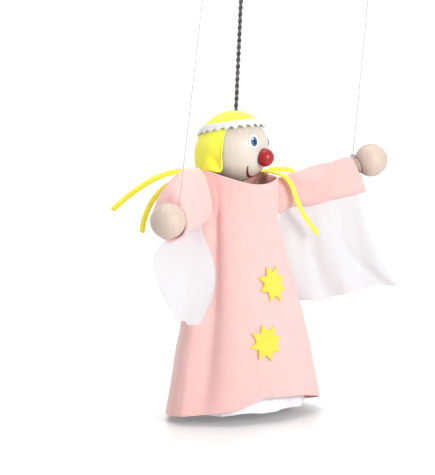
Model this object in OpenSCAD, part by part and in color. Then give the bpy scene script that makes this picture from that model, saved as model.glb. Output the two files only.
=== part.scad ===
// Angel marionette: a wooden head on a twisted wire rod, a felt dress over a turned torso,
// two arms that two hand strings lift, and a rocking wooden control. Millimetres, +Z up.
// The puppet faces -Y and its left hand is on +X. The origin is the point that the hook hangs from.

/* [Head] */
// Diameter of the turned head
head_d = 45; // [36:1:52]
// Height of the head's centre above the lowest place that the hem reaches
head_height = 177.3; // [165:0.1:190]
// Turn of the face towards the puppet's left
head_yaw = 26; // [0:1:40]
// Height of the flat turned at the foot of the head
head_flat_h = 0.8; // [0.4:0.1:2]
// Diameter of the round nose
nose_d = 11.8; // [8:0.1:14]
// Distance from the head's centre to the nose's centre
nose_reach = 24; // [22:0.1:27]
// Angle of the nose below level
nose_drop = 11; // [0:1:20]
// Width of a painted eye
eye_w = 7.6; // [5:0.1:9]
// Height of a painted eye
eye_h = 9.4; // [6:0.1:11]
// Width of an iris
iris_w = 4.4; // [3:0.1:6]
// Height of an iris
iris_h = 5.8; // [4:0.1:7]
// Angle from the nose to each eye
eye_azimuth = 24.5; // [18:0.5:32]
// Angle of the eyes above level
eye_rise = 17.4; // [10:0.1:25]
// Thickness of a coat of paint
paint_t = 0.3; // [0.2:0.05:0.5]
// Radius of the smile, seen from the front
smile_r = 10.9; // [8:0.1:13]
// Width of the smile's line
smile_w = 1.3; // [0.8:0.1:2]

/* [Hair] */
// Thickness of the hair felt
hair_t = 2.2; // [1.5:0.1:3]
// Radius of the hair where it stands off the head
hair_r = 27.2; // [26.2:0.1:28]
// Depth of the hair below the head's centre
hair_drop = 14; // [12:0.5:14.5]
// Angle from the nose to each hair edge
hair_azimuth = 76; // [65:1:90]
// Width of the zigzag headband
band_w = 6.4; // [5:0.1:9]
// Thickness of the headband
band_t = 0.8; // [0.5:0.1:1.2]
// Backward tilt of the headband
band_tilt = 7; // [0:1:12]
// Teeth of the headband's zigzag
band_teeth = 26; // [18:1:32]
// Width of a hair strip
strip_w = 3.4; // [2.5:0.1:5]
// Thickness of a hair strip
strip_t = 1.5; // [1:0.1:2]
// Reach of the longest hair strip from the head
strip_reach = 60; // [50:1:64]

/* [Rod and hook] */
// Diameter of the twisted rod
rod_d = 3; // [2.4:0.1:3.6]
// Lean of the rod towards the puppet's left
rod_lean = 3; // [2:0.1:4]
// Diameter of the wire of the eye under the head
eye_wire_d = 1.6; // [1.2:0.1:2]
// Inner diameter of the eye under the head
eye_bore_d = 5; // [4.6:0.1:5.6]
// Thickness of the stop washer under the head
stop_t = 1.2; // [0.8:0.1:1.6]
// Diameter of the stop washer
stop_d = 9; // [7:0.5:11]
// Inner diameter of the hanging hook
hook_bore_d = 15; // [12:1:20]
// Diameter of the hook's wire
hook_wire_d = 2.4; // [2:0.1:2.8]
// Opening of the hook, as an angle
hook_gap_angle = 70; // [50:5:90]
// Height of the hook's inner top above the lowest place that the hem reaches
hook_height = 338; // [334:1:350]

/* [Torso] */
// Diameter of the torso block at its neck
torso_neck_d = 27; // [25:0.5:28]
// Largest diameter of the torso block
torso_belly_d = 30; // [28:0.5:31]
// Height of the torso block
torso_h = 48; // [40:1:52]
// Diameter of the hollow in the torso's top, where the rings link
neck_hollow_d = 16; // [15:0.5:17]
// Depth of that hollow
neck_hollow_h = 8.7; // [8:0.1:9]
// Diameter of the wire of the torso's screw eye
screw_wire_d = 1.5; // [1.2:0.1:1.8]
// Length of the screw eye's shank
screw_shank_l = 14; // [10:1:18]

/* [Arms] */
// Distance from the puppet's middle to each shoulder pin
shoulder_x = 23; // [22:0.5:24]
// Depth of the shoulder pins below the head's centre
shoulder_drop = 34.8; // [34:0.1:36]
// Length from the shoulder pin to the middle of the hand
arm_l = 78; // [74:1:82]
// Diameter of the arm dowel
arm_d = 9; // [8:0.5:10]
// Forward swing of the left arm
left_swing_angle = 19.3; // [10:0.1:30]
// Rise of the left arm
left_rise_angle = 18.7; // [10:0.1:25]
// Forward swing of the right arm
right_swing_angle = 41.9; // [30:0.1:50]
// Rise of the right arm
right_rise_angle = -2.8; // [-8:0.1:4]
// Thickness of the torso's shoulder tongue
tongue_t = 3.6; // [3:0.1:4.2]
// Height of the shoulder tongue
tongue_h = 8; // [7:0.5:9]
// Diameter of the shoulder pin
pin_d = 2.4; // [2:0.1:2.8]
// Length of the shoulder pin
pin_l = 10; // [9:0.5:11]

/* [Hands] */
// Diameter of the hand
hand_d = 22; // [19:0.5:24]
// Diameter of the groove that holds the string
groove_d = 10; // [9:0.1:12]
// Width of that groove
groove_w = 2.8; // [2.4:0.1:3.4]
// Diameter of the hand's collar inside the cuff
collar_d = 13; // [11:0.5:14]
// Length of the collar
collar_l = 7; // [5:0.5:9]
// Diameter of the thread that ties a hand
tie_d = 0.8; // [0.6:0.1:1]
// Diameter of the tie's knot
tie_knot_d = 2.2; // [1.6:0.1:2.8]
// Turn of the right tie's knot round the wrist
right_knot_turn = 28; // [0:1:40]

/* [Dress] */
// Thickness of the dress felt
felt_t = 1.2; // [0.8:0.1:1.6]
// Width across the hem
hem_w = 116; // [100:1:120]
// Depth of the hem from front to back
hem_depth = 74; // [66:1:80]
// Width of the skirt a third of the way up
skirt_w = 89; // [84:1:94]
// Depth of the skirt a third of the way up
skirt_depth = 62; // [58:1:66]
// Width at the waist
waist_w = 68; // [64:1:72]
// Depth at the waist
waist_depth = 48; // [44:1:50]
// Width under the arms
chest_w = 56; // [54:0.5:58]
// Depth under the arms
chest_depth = 40; // [39:0.5:44]
// Width of the neckline
neck_w = 56; // [56:0.5:58]
// Depth of the neckline
neck_depth = 49; // [49:0.5:52]
// Depth of the neckline's sides below the head's centre
neck_drop = 15.3; // [15.3:0.1:17]
// Dip of the neckline in front
neck_dip = 8.5; // [6:0.5:9]
// Dip of the neckline behind
neck_back_dip = 7; // [5:0.5:8]
// Sideways flare of the skirt towards the puppet's left
hem_flare = 2.4; // [0:0.1:4]
// Forward shift of the skirt
skirt_shift = 7.5; // [5:0.5:8]
// Height of the hem at its lowest place
hem_lowest_z = 2.5; // [1:0.5:3]
// Rise of the hem from back to front
hem_tilt = 6.5; // [4:0.5:8]
// Lift of the hem in front
hem_lift = 10; // [6:0.5:11]
// Depth of the deepest skirt fold
fold_depth = 4; // [2:0.5:5]
// Radius of the shoulder, which the sleeve's root follows
shoulder_r = 13; // [12.5:0.1:13.4]
// Running gap between the dress and the sleeve's root
shoulder_gap = 2.4; // [2:0.1:3]

/* [Sleeves] */
// Length of a sleeve from the shoulder pin
sleeve_l = 63; // [58:0.5:64]
// Height of the left cuff
left_cuff_h = 27; // [25:0.5:29]
// Height of the right cuff
right_cuff_h = 23; // [21:0.5:26]
// Width of the left cuff
left_cuff_w = 24; // [22:0.5:28]
// Width of the right cuff
right_cuff_w = 22; // [20:0.5:24]
// How far the right cuff hangs off the arm's line, to the outside
right_cuff_shift = 3; // [1:0.5:4]
// How far the stiff felt of the right sleeve stands up over the arm
right_puff_h = 16; // [8:0.5:17]
// How far the right sleeve swells to the outside
right_swell_w = 5; // [2:0.5:6]

/* [Petticoat] */
// Thickness of the petticoat cloth
cotton_t = 0.8; // [0.6:0.1:1]
// Width of the petticoat's hem
petticoat_w = 94; // [90:1:100]
// Depth of the petticoat's hem
petticoat_depth = 60; // [54:1:62]
// Height of the petticoat's hem
petticoat_low = 8.5; // [6:0.5:10]
// Height of the petticoat's waist, as a share of the neckline's
petticoat_top_share = 0.636; // [0.61:0.001:0.64]

/* [Stars] */
// Distance across a star's points
star_d = 24.5; // [20:0.5:26]
// Thickness of the star felt
star_t = 1.4; // [1:0.1:1.8]
// Height of the upper star's middle, as a share of the neckline's
upper_star_share = 0.56; // [0.52:0.01:0.6]
// Height of the lower star's middle, as a share of the neckline's
lower_star_share = 0.336; // [0.3:0.001:0.37]

/* [Wings] */
// Thickness of the wing cloth
wing_t = 0.6; // [0.5:0.1:0.8]
// Reach of a wing's lower corner from the shoulder pin
wing_reach = 94; // [86:1:100]
// Depth of the wing's folds
wing_fold = 1.6; // [1:0.1:2.2]

/* [Control] */
// Height of the rocker's string holes above the lowest place that the hem reaches
rocker_z = 300; // [298:1:304]
// Distance from the rod to the rocker
rocker_reach = 57.1; // [50:0.1:64]
// Distance from the rocker's pivot to each string hole
rocker_half = 61.6; // [56:0.1:68]
// Width of the control's wooden bars
bar_w = 14; // [13:0.5:16]
// Thickness of the control's wooden bars
bar_t = 9; // [8.5:0.5:11]
// Length of the main bar behind the rod
bar_back_l = 62; // [50:1:70]
// Wood beyond each string hole
rocker_end = 9; // [8:0.5:12]
// Diameter of the recess for a stop bead
recess_d = 12; // [11.6:0.1:12.4]
// Depth of that recess
recess_h = 3.5; // [3:0.1:4]
// Diameter of the string hole below the recess
string_hole_d = 3.6; // [3.4:0.1:4]
// Diameter of the rocker's pivot screw
pivot_d = 3; // [2.5:0.1:3.5]
// Length of the pivot screw under its head
pivot_l = 32; // [28:1:36]
// Diameter of the pivot screw's head
pivot_head_d = 7; // [6:0.5:8]
// Thickness of the washer between the bars
pivot_washer_t = 1; // [0.6:0.1:1.4]

/* [Strings] */
// Diameter of a hand string
string_d = 0.5; // [0.4:0.05:0.7]
// Diameter of the bead that stops a string
bead_d = 4.6; // [4.4:0.1:4.8]

/* [Hidden] */
$fn = 64;
wire_sides = 24;
shell_folds = 6;

// Where the groove sits, as a share of the hand's diameter from its middle
groove_share = 0.48;

// Overrun of every cut, gap of a running fit, and gap of a soft piece or a glued one
cut = 1;
running_gap = 0.05;
seat_gap = 0.3;
glue_gap = 0.02;
left = 1;
right = -1;

head_r = head_d / 2;
rod_r = rod_d / 2;
shoulder_z = head_height - shoulder_drop;
neck_z = head_height - neck_drop;
hook_r = (hook_bore_d + hook_wire_d) / 2;
eye_ring_r = (eye_bore_d + eye_wire_d) / 2;
hang_x = (hook_height - head_height) * tan(rod_lean);

// The rod's own length along its axis, from the head's centre
rod_up = (hook_height - head_height) / cos(rod_lean) - hook_bore_d - hook_wire_d / 2;
stop_top = -head_r + head_flat_h - running_gap;
eye_centre = stop_top - stop_t - eye_ring_r - eye_wire_d / 2;

// The screw eye hangs on the bottom wire of the rod's eye
link_x = (eye_centre - eye_ring_r) * sin(rod_lean);
link_z = head_height + (eye_centre - eye_ring_r) * cos(rod_lean);
screw_ring_r = (eye_bore_d + screw_wire_d) / 2;
screw_centre_z = link_z - eye_bore_d / 2 + eye_wire_d / 2 + running_gap;

torso_top = shoulder_z + tongue_h / 2 + seat_gap;
hollow_floor = torso_top - neck_hollow_h;

groove_at = arm_l - hand_d * groove_share;
tie_r = groove_d / 2 + seat_gap + tie_d / 2;

// Moves a shape from the puppet's own place, hem at zero, to the hanging point
module placed() { translate([-hang_x, 0, -hook_height]) children(); }
module on_rod() { translate([0, 0, head_height]) rotate([0, rod_lean, 0]) children(); }
module on_head() { on_rod() rotate([0, 0, head_yaw]) children(); }
module at_latitude(azimuth, rise) {
    rotate([0, 0, azimuth]) rotate([-rise, 0, 0]) rotate([90, 0, 0]) children();
}

// An arm's frame: X runs along the arm, Y is its pin's direction
function rise_of(side) = side == left ? left_rise_angle : right_rise_angle;
function heading_of(side) = side == left ? -left_swing_angle : 180 + right_swing_angle;
module at_shoulder(side) {
    translate([side * shoulder_x, 0, shoulder_z]) rotate([0, 0, heading_of(side)]) children();
}
module along_arm(side) { at_shoulder(side) rotate([0, -rise_of(side), 0]) children(); }

// A closed solid between an outer and an inner grid of points, both [row][column],
// whose columns close in a ring
function ring_shell_points(outer, inner) = [for (grid = [outer, inner]) for (row = grid) each row];
function ring_shell_faces(rows, cols) = let (shift = rows * cols) [
    for (i = [0:rows - 2]) for (j = [0:cols - 1]) let (k = (j + 1) % cols,
        a = i * cols + j, b = i * cols + k, c = (i + 1) * cols + k, d = (i + 1) * cols + j)
        each [[a, c, b], [a, d, c], [shift + a, shift + b, shift + c], [shift + a, shift + c, shift + d]],
    for (j = [0:cols - 1]) let (k = (j + 1) % cols, top = (rows - 1) * cols)
        each [[j, k, shift + k], [j, shift + k, shift + j],
            [top + j, shift + top + k, top + k], [top + j, shift + top + j, shift + top + k]]];

// A closed solid between the two faces of a sheet, both [row][column]
function sheet_faces(rows, cols) = let (shift = rows * cols, last = (rows - 1) * cols) [
    for (i = [0:rows - 2]) for (j = [0:cols - 2]) let (
        a = i * cols + j, b = a + 1, c = a + cols + 1, d = a + cols)
        each [[a, c, b], [a, d, c], [shift + a, shift + b, shift + c], [shift + a, shift + c, shift + d]],
    for (j = [0:cols - 2]) each [[j, j + 1, shift + j + 1], [j, shift + j + 1, shift + j],
        [last + j, shift + last + j + 1, last + j + 1], [last + j, shift + last + j, shift + last + j + 1]],
    for (i = [0:rows - 2]) let (a = i * cols, d = a + cols, e = a + cols - 1, f = d + cols - 1)
        each [[a, shift + a, shift + d], [a, shift + d, d], [e, shift + f, shift + e], [e, f, shift + f]]];

// Head, a turned ball with a drilled way for the rod and a dimple for the nose
module head() {
    color("#ead8c0") placed() on_head() difference() {
        sphere(r = head_r);
        translate([-head_r, -head_r, -2 * head_r + head_flat_h - head_r]) cube(2 * head_r);
        translate([0, 0, -head_r - cut]) cylinder(r = rod_r + running_gap, h = head_d + 2 * cut);
        nose_ball(glue_gap);
    }
}

module nose_ball(gap) {
    at_latitude(0, -nose_drop) translate([0, 0, nose_reach]) sphere(d = nose_d + 2 * gap);
}
module nose() { color("#c8202c") placed() on_head() nose_ball(0); }

// A coat of paint on the head: what a prism along one direction cuts out of a thin shell
module paint_coat(gap, coat) {
    intersection() {
        difference() {
            sphere(r = head_r + gap + coat);
            sphere(r = head_r + gap);
        }
        linear_extrude(height = head_d) children();
    }
}
oval_sides = 32;
module oval(w, h) {
    polygon([for (i = [0:oval_sides - 1]) let (a = 360 * i / oval_sides) [w / 2 * cos(a), h / 2 * sin(a)]]);
}
module eye_pair() {
    for (side = [left, right]) at_latitude(side * eye_azimuth, eye_rise) children();
}
module eye_whites() {
    color("#f6fafd") placed() on_head() eye_pair() paint_coat(glue_gap, paint_t) oval(eye_w, eye_h);
}
module eye_irises() {
    color("#245f9e") placed() on_head() eye_pair()
        paint_coat(2 * glue_gap + paint_t, paint_t) oval(iris_w, iris_h);
}

// The smile is an arc in front view, its middle below the nose
smile_middle_share = 0.347;
smile_from = 198;
smile_to = 342;
smile_step = 8;
module mouth_line() {
    color("#a8324a") placed() on_head() at_latitude(0, 0) paint_coat(glue_gap, paint_t)
        translate([0, -smile_middle_share * head_r]) polygon([
            for (a = [smile_from:smile_step:smile_to]) (smile_r + smile_w / 2) * [cos(a), sin(a)],
            for (a = [smile_to:-smile_step:smile_from]) (smile_r - smile_w / 2) * [cos(a), sin(a)]]);
}

// Hair, a felt cap that follows the skull and hangs straight from its widest place
hair_skull_r = head_r + glue_gap + hair_t;
hair_edge_r = hair_skull_r - glue_gap;
hair_crown_angle = 8;
hair_crown_step = 6;
hair_bulge_share = 0.55;
hair_tuck_share = 0.3;
hairline_rise = 36;
module hair_profile(inset) {
    crown = [for (a = [90:-hair_crown_step:hair_crown_angle]) (hair_skull_r - inset) * [cos(a), sin(a)]];
    polygon([[0, 0], [0, -hair_drop - (inset > 0 ? cut : 0)],
        [hair_edge_r + (hair_r - hair_edge_r) * hair_tuck_share - inset, -hair_drop - (inset > 0 ? cut : 0)],
        [hair_r - inset, -hair_bulge_share * hair_drop], [hair_r - inset, -hair_bulge_share * hair_t],
        for (i = [len(crown) - 1:-1:0]) crown[i]]);
}
module hair_cap() {
    color("#ffee2e") placed() on_head() difference() {
        rotate_extrude() difference() {
            hair_profile(0);
            hair_profile(hair_t);
            translate([0, -hair_drop - 2 * cut]) square([rod_r + seat_gap, 2 * head_d]);
        }
        sphere(r = head_r + glue_gap);
        rotate([-band_tilt, 0, 0]) translate([0, 0, -head_d + head_r * sin(hairline_rise)])
            linear_extrude(height = head_d) polygon([[0, 0],
                head_d * [-sin(hair_azimuth), -cos(hair_azimuth)],
                head_d * [-sin(hair_azimuth), -1], head_d * [sin(hair_azimuth), -1],
                head_d * [sin(hair_azimuth), -cos(hair_azimuth)]]);
    }
}

// Headband, a zigzag ribbon round the hair
band_rise = 34;
band_cols = 4 * band_teeth;
band_tooth_share = 0.16;
function band_wave(j) = band_w * band_tooth_share * [0, 1, 0, -1][j % 4];
function band_row(r, end) = [for (j = [0:band_cols - 1]) let (
    rise = band_rise + (end * band_w / 2 + band_wave(j)) / hair_skull_r * 180 / PI,
    a = 360 * j / band_cols) r * [cos(rise) * cos(a), cos(rise) * sin(a), sin(rise)]];
module headband() {
    inner_r = hair_skull_r + seat_gap;
    color("#ffffff") placed() on_head() rotate([-band_tilt, 0, 0])
        polyhedron(points = ring_shell_points(
            [for (end = [-1, 0, 1]) band_row(inner_r + band_t, end)],
            [for (end = [-1, 0, 1]) band_row(inner_r, end)]),
            faces = ring_shell_faces(3, band_cols));
}

// Hair strips, narrow felt ribbons that leave the hair over each shoulder.
// Each row is a place in shares of the strips' reach, from under the head's centre
strip_root_share = 0.30;
left_short_shares = [[0.385, 0.125, 0.029], [0.46, 0.09, 0.035], [0.54, 0.00, 0.05],
    [0.66, -0.04, 0.045], [0.74, -0.07, 0.015]];
left_long_shares = [[0.393, 0.098, 0.028], [0.46, 0.04, 0.025], [0.50, -0.08, 0.01],
    [0.545, -0.19, -0.025], [0.58, -0.27, -0.12], [0.61, -0.29, -0.23], [0.69, -0.31, -0.41],
    [0.78, -0.33, -0.54], [0.87, -0.35, -0.66]];
right_long_shares = [[-0.342, 0.235, 0.067], [-0.42, 0.29, 0.068], [-0.54, 0.32, 0.05], [-0.71, 0.34, 0.01],
    [-0.88, 0.36, -0.06], [-1.11, 0.39, -0.20], [-1.29, 0.41, -0.34]];
right_short_shares = [[-0.378, 0.171, 0.067], [-0.45, 0.20, 0.06], [-0.58, 0.18, 0.00], [-0.81, 0.18, -0.13],
    [-0.98, 0.13, -0.27], [-1.10, 0.06, -0.43], [-1.16, 0.00, -0.55]];
function unit(v) = v / norm(v);
function flow(p, i) = unit(p[min(i + 1, len(p) - 1)] - p[max(i - 1, 0)]);
// The first places of a strip lie flat under the hair, and the rest turn their face forward
flat_places = 2;
open_face = [0, -1, 0.6];
function strip_face(i) = i < flat_places ? [0, 0, 1] : open_face;
function strip_points(p) = [for (i = [0:len(p) - 1]) let (
    along = flow(p, i), flat = unit(cross(along, strip_face(i))), up = cross(flat, along))
    each [for (c = [[-1, -1], [1, -1], [1, 1], [-1, 1]])
        p[i] + c[0] * strip_w / 2 * flat + c[1] * strip_t / 2 * up]];
function strip_faces(n) = [[3, 2, 1, 0], [for (c = [0:3]) 4 * (n - 1) + c],
    for (i = [0:n - 2]) for (c = [0:3]) let (a = 4 * i + c, b = 4 * i + (c + 1) % 4)
        each [[a, b, b + 4], [a, b + 4, a + 4]]];
module strip(shares) {
    points = [for (s = shares) s * strip_reach + [0, 0, head_height - strip_root_share * strip_reach]];
    polyhedron(points = strip_points(points), faces = strip_faces(len(points)));
}
module left_hair_strips() {
    color("#ffee2e") placed() {
        strip(left_short_shares);
        strip(left_long_shares);
    }
}
module right_hair_strips() {
    color("#ffee2e") placed() {
        strip(right_short_shares);
        strip(right_long_shares);
    }
}

// A ring of wire in the X-Z plane, open by an angle that starts at a bearing
module wire_ring(r, wire_r, from, sweep) {
    rotate([90, 0, 0]) rotate([0, 0, from]) rotate_extrude(angle = sweep) translate([r, 0])
        circle(r = wire_r, $fn = wire_sides);
}

// Head rod, two twisted wires drawn as one round, with the hook above and the eye below
module head_rod() {
    color("#4a4648") placed() on_rod() {
        translate([0, 0, stop_top - stop_t - eye_wire_d / 2])
            cylinder(r = rod_r, h = rod_up - stop_top + stop_t + eye_wire_d / 2);
        translate([0, 0, rod_up]) sphere(r = rod_r);
        translate([0, 0, eye_centre]) wire_ring(eye_ring_r, eye_wire_d / 2, 0, 360);
        translate([0, 0, rod_up + hook_r])
            wire_ring(hook_r, hook_wire_d / 2, hook_gap_angle - 90, 360 - hook_gap_angle);
    }
}

module head_stop() {
    color("#b9b6b2") placed() on_rod() translate([0, 0, stop_top - stop_t]) difference() {
        cylinder(d = stop_d, h = stop_t);
        translate([0, 0, -cut]) cylinder(r = rod_r + glue_gap, h = stop_t + 2 * cut);
    }
}

// Torso block, turned, with a hollow for the linked rings and a tongue at each shoulder
torso_foot_share = 0.9;
torso_belly_share = 0.45;
module torso_block() {
    color("#e2c9a4") placed() difference() {
        union() {
            rotate_extrude() polygon([[0, torso_top - torso_h],
                [torso_foot_share * torso_neck_d / 2, torso_top - torso_h],
                [torso_belly_d / 2, torso_top - (1 - torso_belly_share / 2) * torso_h],
                [torso_belly_d / 2, torso_top - (1 - torso_belly_share) * torso_h],
                [torso_neck_d / 2, torso_top - tongue_h], [torso_neck_d / 2, torso_top], [0, torso_top]]);
            for (side = [left, right]) at_shoulder(side) shoulder_tongue(side);
        }
        translate([0, 0, hollow_floor]) cylinder(d = neck_hollow_d, h = neck_hollow_h + cut);
        translate([link_x, 0, hollow_floor - screw_shank_l])
            cylinder(d = screw_wire_d + 2 * glue_gap, h = screw_shank_l + cut);
        for (side = [left, right]) at_shoulder(side) rotate([90, 0, 0])
            cylinder(d = pin_d + 2 * glue_gap, h = pin_l, center = true);
    }
}
module shoulder_tongue(side) {
    h = heading_of(side);
    back = [-arm_d / 2 - 2 * seat_gap, 0];
    middle = -side * shoulder_x * [cos(h), -sin(h)];
    toward = unit(middle - back);
    across = tongue_t / 2 * [-toward[1], toward[0]];
    rotate([90, 0, 0]) cylinder(d = tongue_h, h = tongue_t, center = true);
    translate([back[0], -tongue_t / 2, -tongue_h / 2]) cube([-back[0], tongue_t, tongue_h]);
    translate([0, 0, -tongue_h / 2]) linear_extrude(height = tongue_h)
        polygon([back - [0, tongue_t / 2], back + [0, tongue_t / 2], middle - across, middle + across]);
}

module neck_screw_eye() {
    color("#c9a64a") placed() translate([link_x, 0, screw_centre_z]) {
        rotate([0, 0, 90]) wire_ring(screw_ring_r, screw_wire_d / 2, 0, 360);
        translate([0, 0, hollow_floor - screw_shank_l + glue_gap - screw_centre_z])
            cylinder(d = screw_wire_d,
                h = screw_centre_z - screw_ring_r - hollow_floor + screw_shank_l - glue_gap);
    }
}

module shoulder_pin(side) {
    color("#b9b6b2") placed() at_shoulder(side) rotate([90, 0, 0])
        cylinder(d = pin_d, h = pin_l, center = true);
}

// Arm dowel, forked round the shoulder tongue
fork_l = tongue_h / 2 + arm_d / 2;
collar_foot = groove_at - groove_w / 2 - collar_l;
dowel_end = collar_foot + collar_l / 2;
dowel_nose_d = arm_d - 2 * felt_t;
module arm_dowel(side) {
    color("#e2c9a4") placed() along_arm(side) difference() {
        union() {
            rotate([0, 90, 0]) cylinder(d = arm_d, h = collar_foot - seat_gap);
            rotate([0, 90, 0]) cylinder(d = dowel_nose_d, h = dowel_end);
            rotate([90, 0, 0]) cylinder(d = arm_d - cut, h = arm_d, center = true);
        }
        rotate([90, 0, 0]) cylinder(d = pin_d + 2 * running_gap, h = pin_l + arm_d, center = true);
        translate([-arm_d, -tongue_t / 2 - seat_gap, -arm_d])
            cube([arm_d + fork_l, tongue_t + 2 * seat_gap, 2 * arm_d]);
        for (y = [-1, 1]) translate([-arm_d, y * (pin_l / 2 + arm_d / 2) - arm_d / 2, -arm_d])
            cube([2 * arm_d, arm_d, 2 * arm_d]);
    }
}

// Hand, a turned ball with a groove for the tie and a collar drilled for the dowel
module hand(side) {
    color("#e9d2b4") placed() along_arm(side) rotate([0, 90, 0]) difference() {
        union() {
            translate([0, 0, arm_l]) sphere(d = hand_d);
            translate([0, 0, groove_at - groove_w]) cylinder(d = groove_d, h = hand_d / 2);
            translate([0, 0, collar_foot]) cylinder(d1 = groove_d, d2 = collar_d, h = collar_l);
        }
        translate([0, 0, groove_at - groove_w / 2]) difference() {
            cylinder(d = hand_d, h = groove_w);
            translate([0, 0, -cut]) cylinder(d = groove_d, h = groove_w + 2 * cut);
        }
        translate([0, 0, collar_foot - cut])
            cylinder(d = dowel_nose_d + 2 * glue_gap, h = dowel_end - collar_foot + cut + glue_gap);
    }
}

// Wrist tie, a loop of thread in the groove with its knot on top
module wrist_tie(side) {
    turn = side == left ? 0 : right_knot_turn;
    color("#d8d4cc") placed() along_arm(side) translate([groove_at, 0, 0]) rotate([0, 90, 0]) {
        rotate_extrude() translate([tie_r, 0]) circle(d = tie_d, $fn = wire_sides);
        rotate([0, 0, 180 + side * turn]) translate([tie_r + tie_knot_d / 2, 0, 0])
            sphere(d = tie_knot_d, $fn = wire_sides);
    }
}

// Dress. Its level runs from 0 at the hem to 1 at the neckline's sides
dress_levels = [0, 0.39, 0.645, 0.82, 0.97, 1.2];
dress_widths = [hem_w, skirt_w, waist_w, chest_w, neck_w, neck_w];
dress_depths = [hem_depth, skirt_depth, waist_depth, chest_depth, neck_depth, neck_depth];
dress_shift_shares = [1, 1, 0.65, 0.3, 0.13, 0.13];
function at_level(values, level) = lookup(level,
    [for (i = [0:len(values) - 1]) [dress_levels[i], values[i]]]);
function angle_gap(a, b) = let (d = (a - b) % 360) d > 180 ? d - 360 : d < -180 ? d + 360 : d;
function hump(a, middle, spread) = exp(-pow(angle_gap(a, middle) / spread, 2));

// Folds as bearing, spread and share of the deepest: inward is positive
fold_shares = [[-124, 13, 1], [-150, 12, -0.5], [-52, 16, 0.55], [-20, 13, -0.4], [24, 14, 0.8],
    [62, 14, -0.6], [95, 12, 0.5], [128, 13, -0.5], [160, 12, 0.6]];
// A fold is part open at the hem already, is deepest in the middle and fades towards the neck
fold_hem_share = 0.12;
fold_fade_share = 0.45;
function fold_in(a, level) = let (run = min(1, max(0, fold_hem_share + (1 - fold_hem_share / 2) * level)))
    fold_depth * sin(180 * run) * (1 - fold_fade_share * level)
    * ([for (f = fold_shares) f[2] * hump(a, f[0], f[1])] * [for (f = fold_shares) 1]);

// Bearings of the front's middle and of the hem's lowest place, and spreads of the edges' dips
front = -80;
back = 90;
hem_low_bearing = 60;
hem_spread = [38, 75];
neck_spread = [48, 75];
neck_back_spread = 55;
function front_hump(a, spread) = hump(a, front, spread[angle_gap(a, front) < 0 ? 0 : 1]);
function hem_z(a) = hem_lowest_z + hem_tilt * (1 - cos(a - hem_low_bearing)) / 2
    + hem_lift * front_hump(a, hem_spread);
function neck_edge_z(a) = neck_z - neck_dip * front_hump(a, neck_spread)
    - neck_back_dip * hump(a, back, neck_back_spread);

function dress_point(a, z, inset) = let (level = z / neck_z, in = inset + fold_in(a, level))
    [(at_level(dress_widths, level) / 2 - in) * cos(a) + hem_flare * pow(max(0, 1 - level), 2),
     (at_level(dress_depths, level) / 2 - in) * sin(a)
         - skirt_shift * at_level(dress_shift_shares, level), z];
dress_cols = 40;
dress_rows = [0, 0.13, 0.26, 0.38, 0.5, 0.62, 0.72, 0.8, 0.87, 0.94, 1];
function dress_grid(inset) = [for (share = dress_rows) [for (j = [0:dress_cols - 1])
    let (a = 360 * j / dress_cols, low = hem_z(a), high = neck_edge_z(a))
    dress_point(a, low + share * (high - low), inset)]];
module dress_body() {
    color("#f7cfc6") placed() difference() {
        polyhedron(points = ring_shell_points(dress_grid(0), dress_grid(felt_t)),
            faces = ring_shell_faces(len(dress_rows), dress_cols), convexity = shell_folds);
        for (side = [left, right]) translate([side * shoulder_x, 0, shoulder_z])
            sphere(r = shoulder_r + shoulder_gap);
    }
}

// Petticoat, gathered round the torso block and open below
petticoat_rows = [0, 0.3, 0.6, 0.85, 1];
petticoat_waist_d = torso_belly_d + 2 * seat_gap + 2 * cotton_t;
petticoat_top = petticoat_top_share * neck_z;
petticoat_flare = 1.3;
ruffles = 9;
ruffle_share = 0.03;
function petticoat_point(a, share, inset) = let (
    spread = 1 - pow(share, petticoat_flare),
    half_w = petticoat_waist_d / 2 + spread * (petticoat_w - petticoat_waist_d) / 2,
    half_d = petticoat_waist_d / 2 + spread * (petticoat_depth - petticoat_waist_d) / 2,
    ruffle = 1 + ruffle_share * spread * cos(ruffles * a))
    [(half_w * ruffle - inset) * cos(a), (half_d * ruffle - inset) * sin(a) - skirt_shift * sqrt(spread),
     petticoat_low + share * (petticoat_top - petticoat_low)];
function petticoat_grid(inset) = [for (share = petticoat_rows)
    [for (j = [0:dress_cols - 1]) petticoat_point(360 * j / dress_cols, share, inset)]];
module petticoat() {
    color("#fbfbfb") placed() polyhedron(
        points = ring_shell_points(petticoat_grid(0), petticoat_grid(cotton_t)),
        faces = ring_shell_faces(len(petticoat_rows), dress_cols), convexity = shell_folds);
}

// Stars, eight-pointed felt, glued flat to the front of the skirt
star_points = 8;
star_inner_share = 0.62;
star_bearing_step = 12;
upper_star_bearing = -76;
upper_star_spin = 8;
lower_star_bearing = -92.5;
lower_star_spin = 20;
module star_outline() {
    polygon([for (i = [0:2 * star_points - 1]) let (a = 180 * i / star_points)
        star_d / 2 * (i % 2 == 0 ? 1 : star_inner_share) * [sin(a), cos(a)]]);
}
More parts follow.
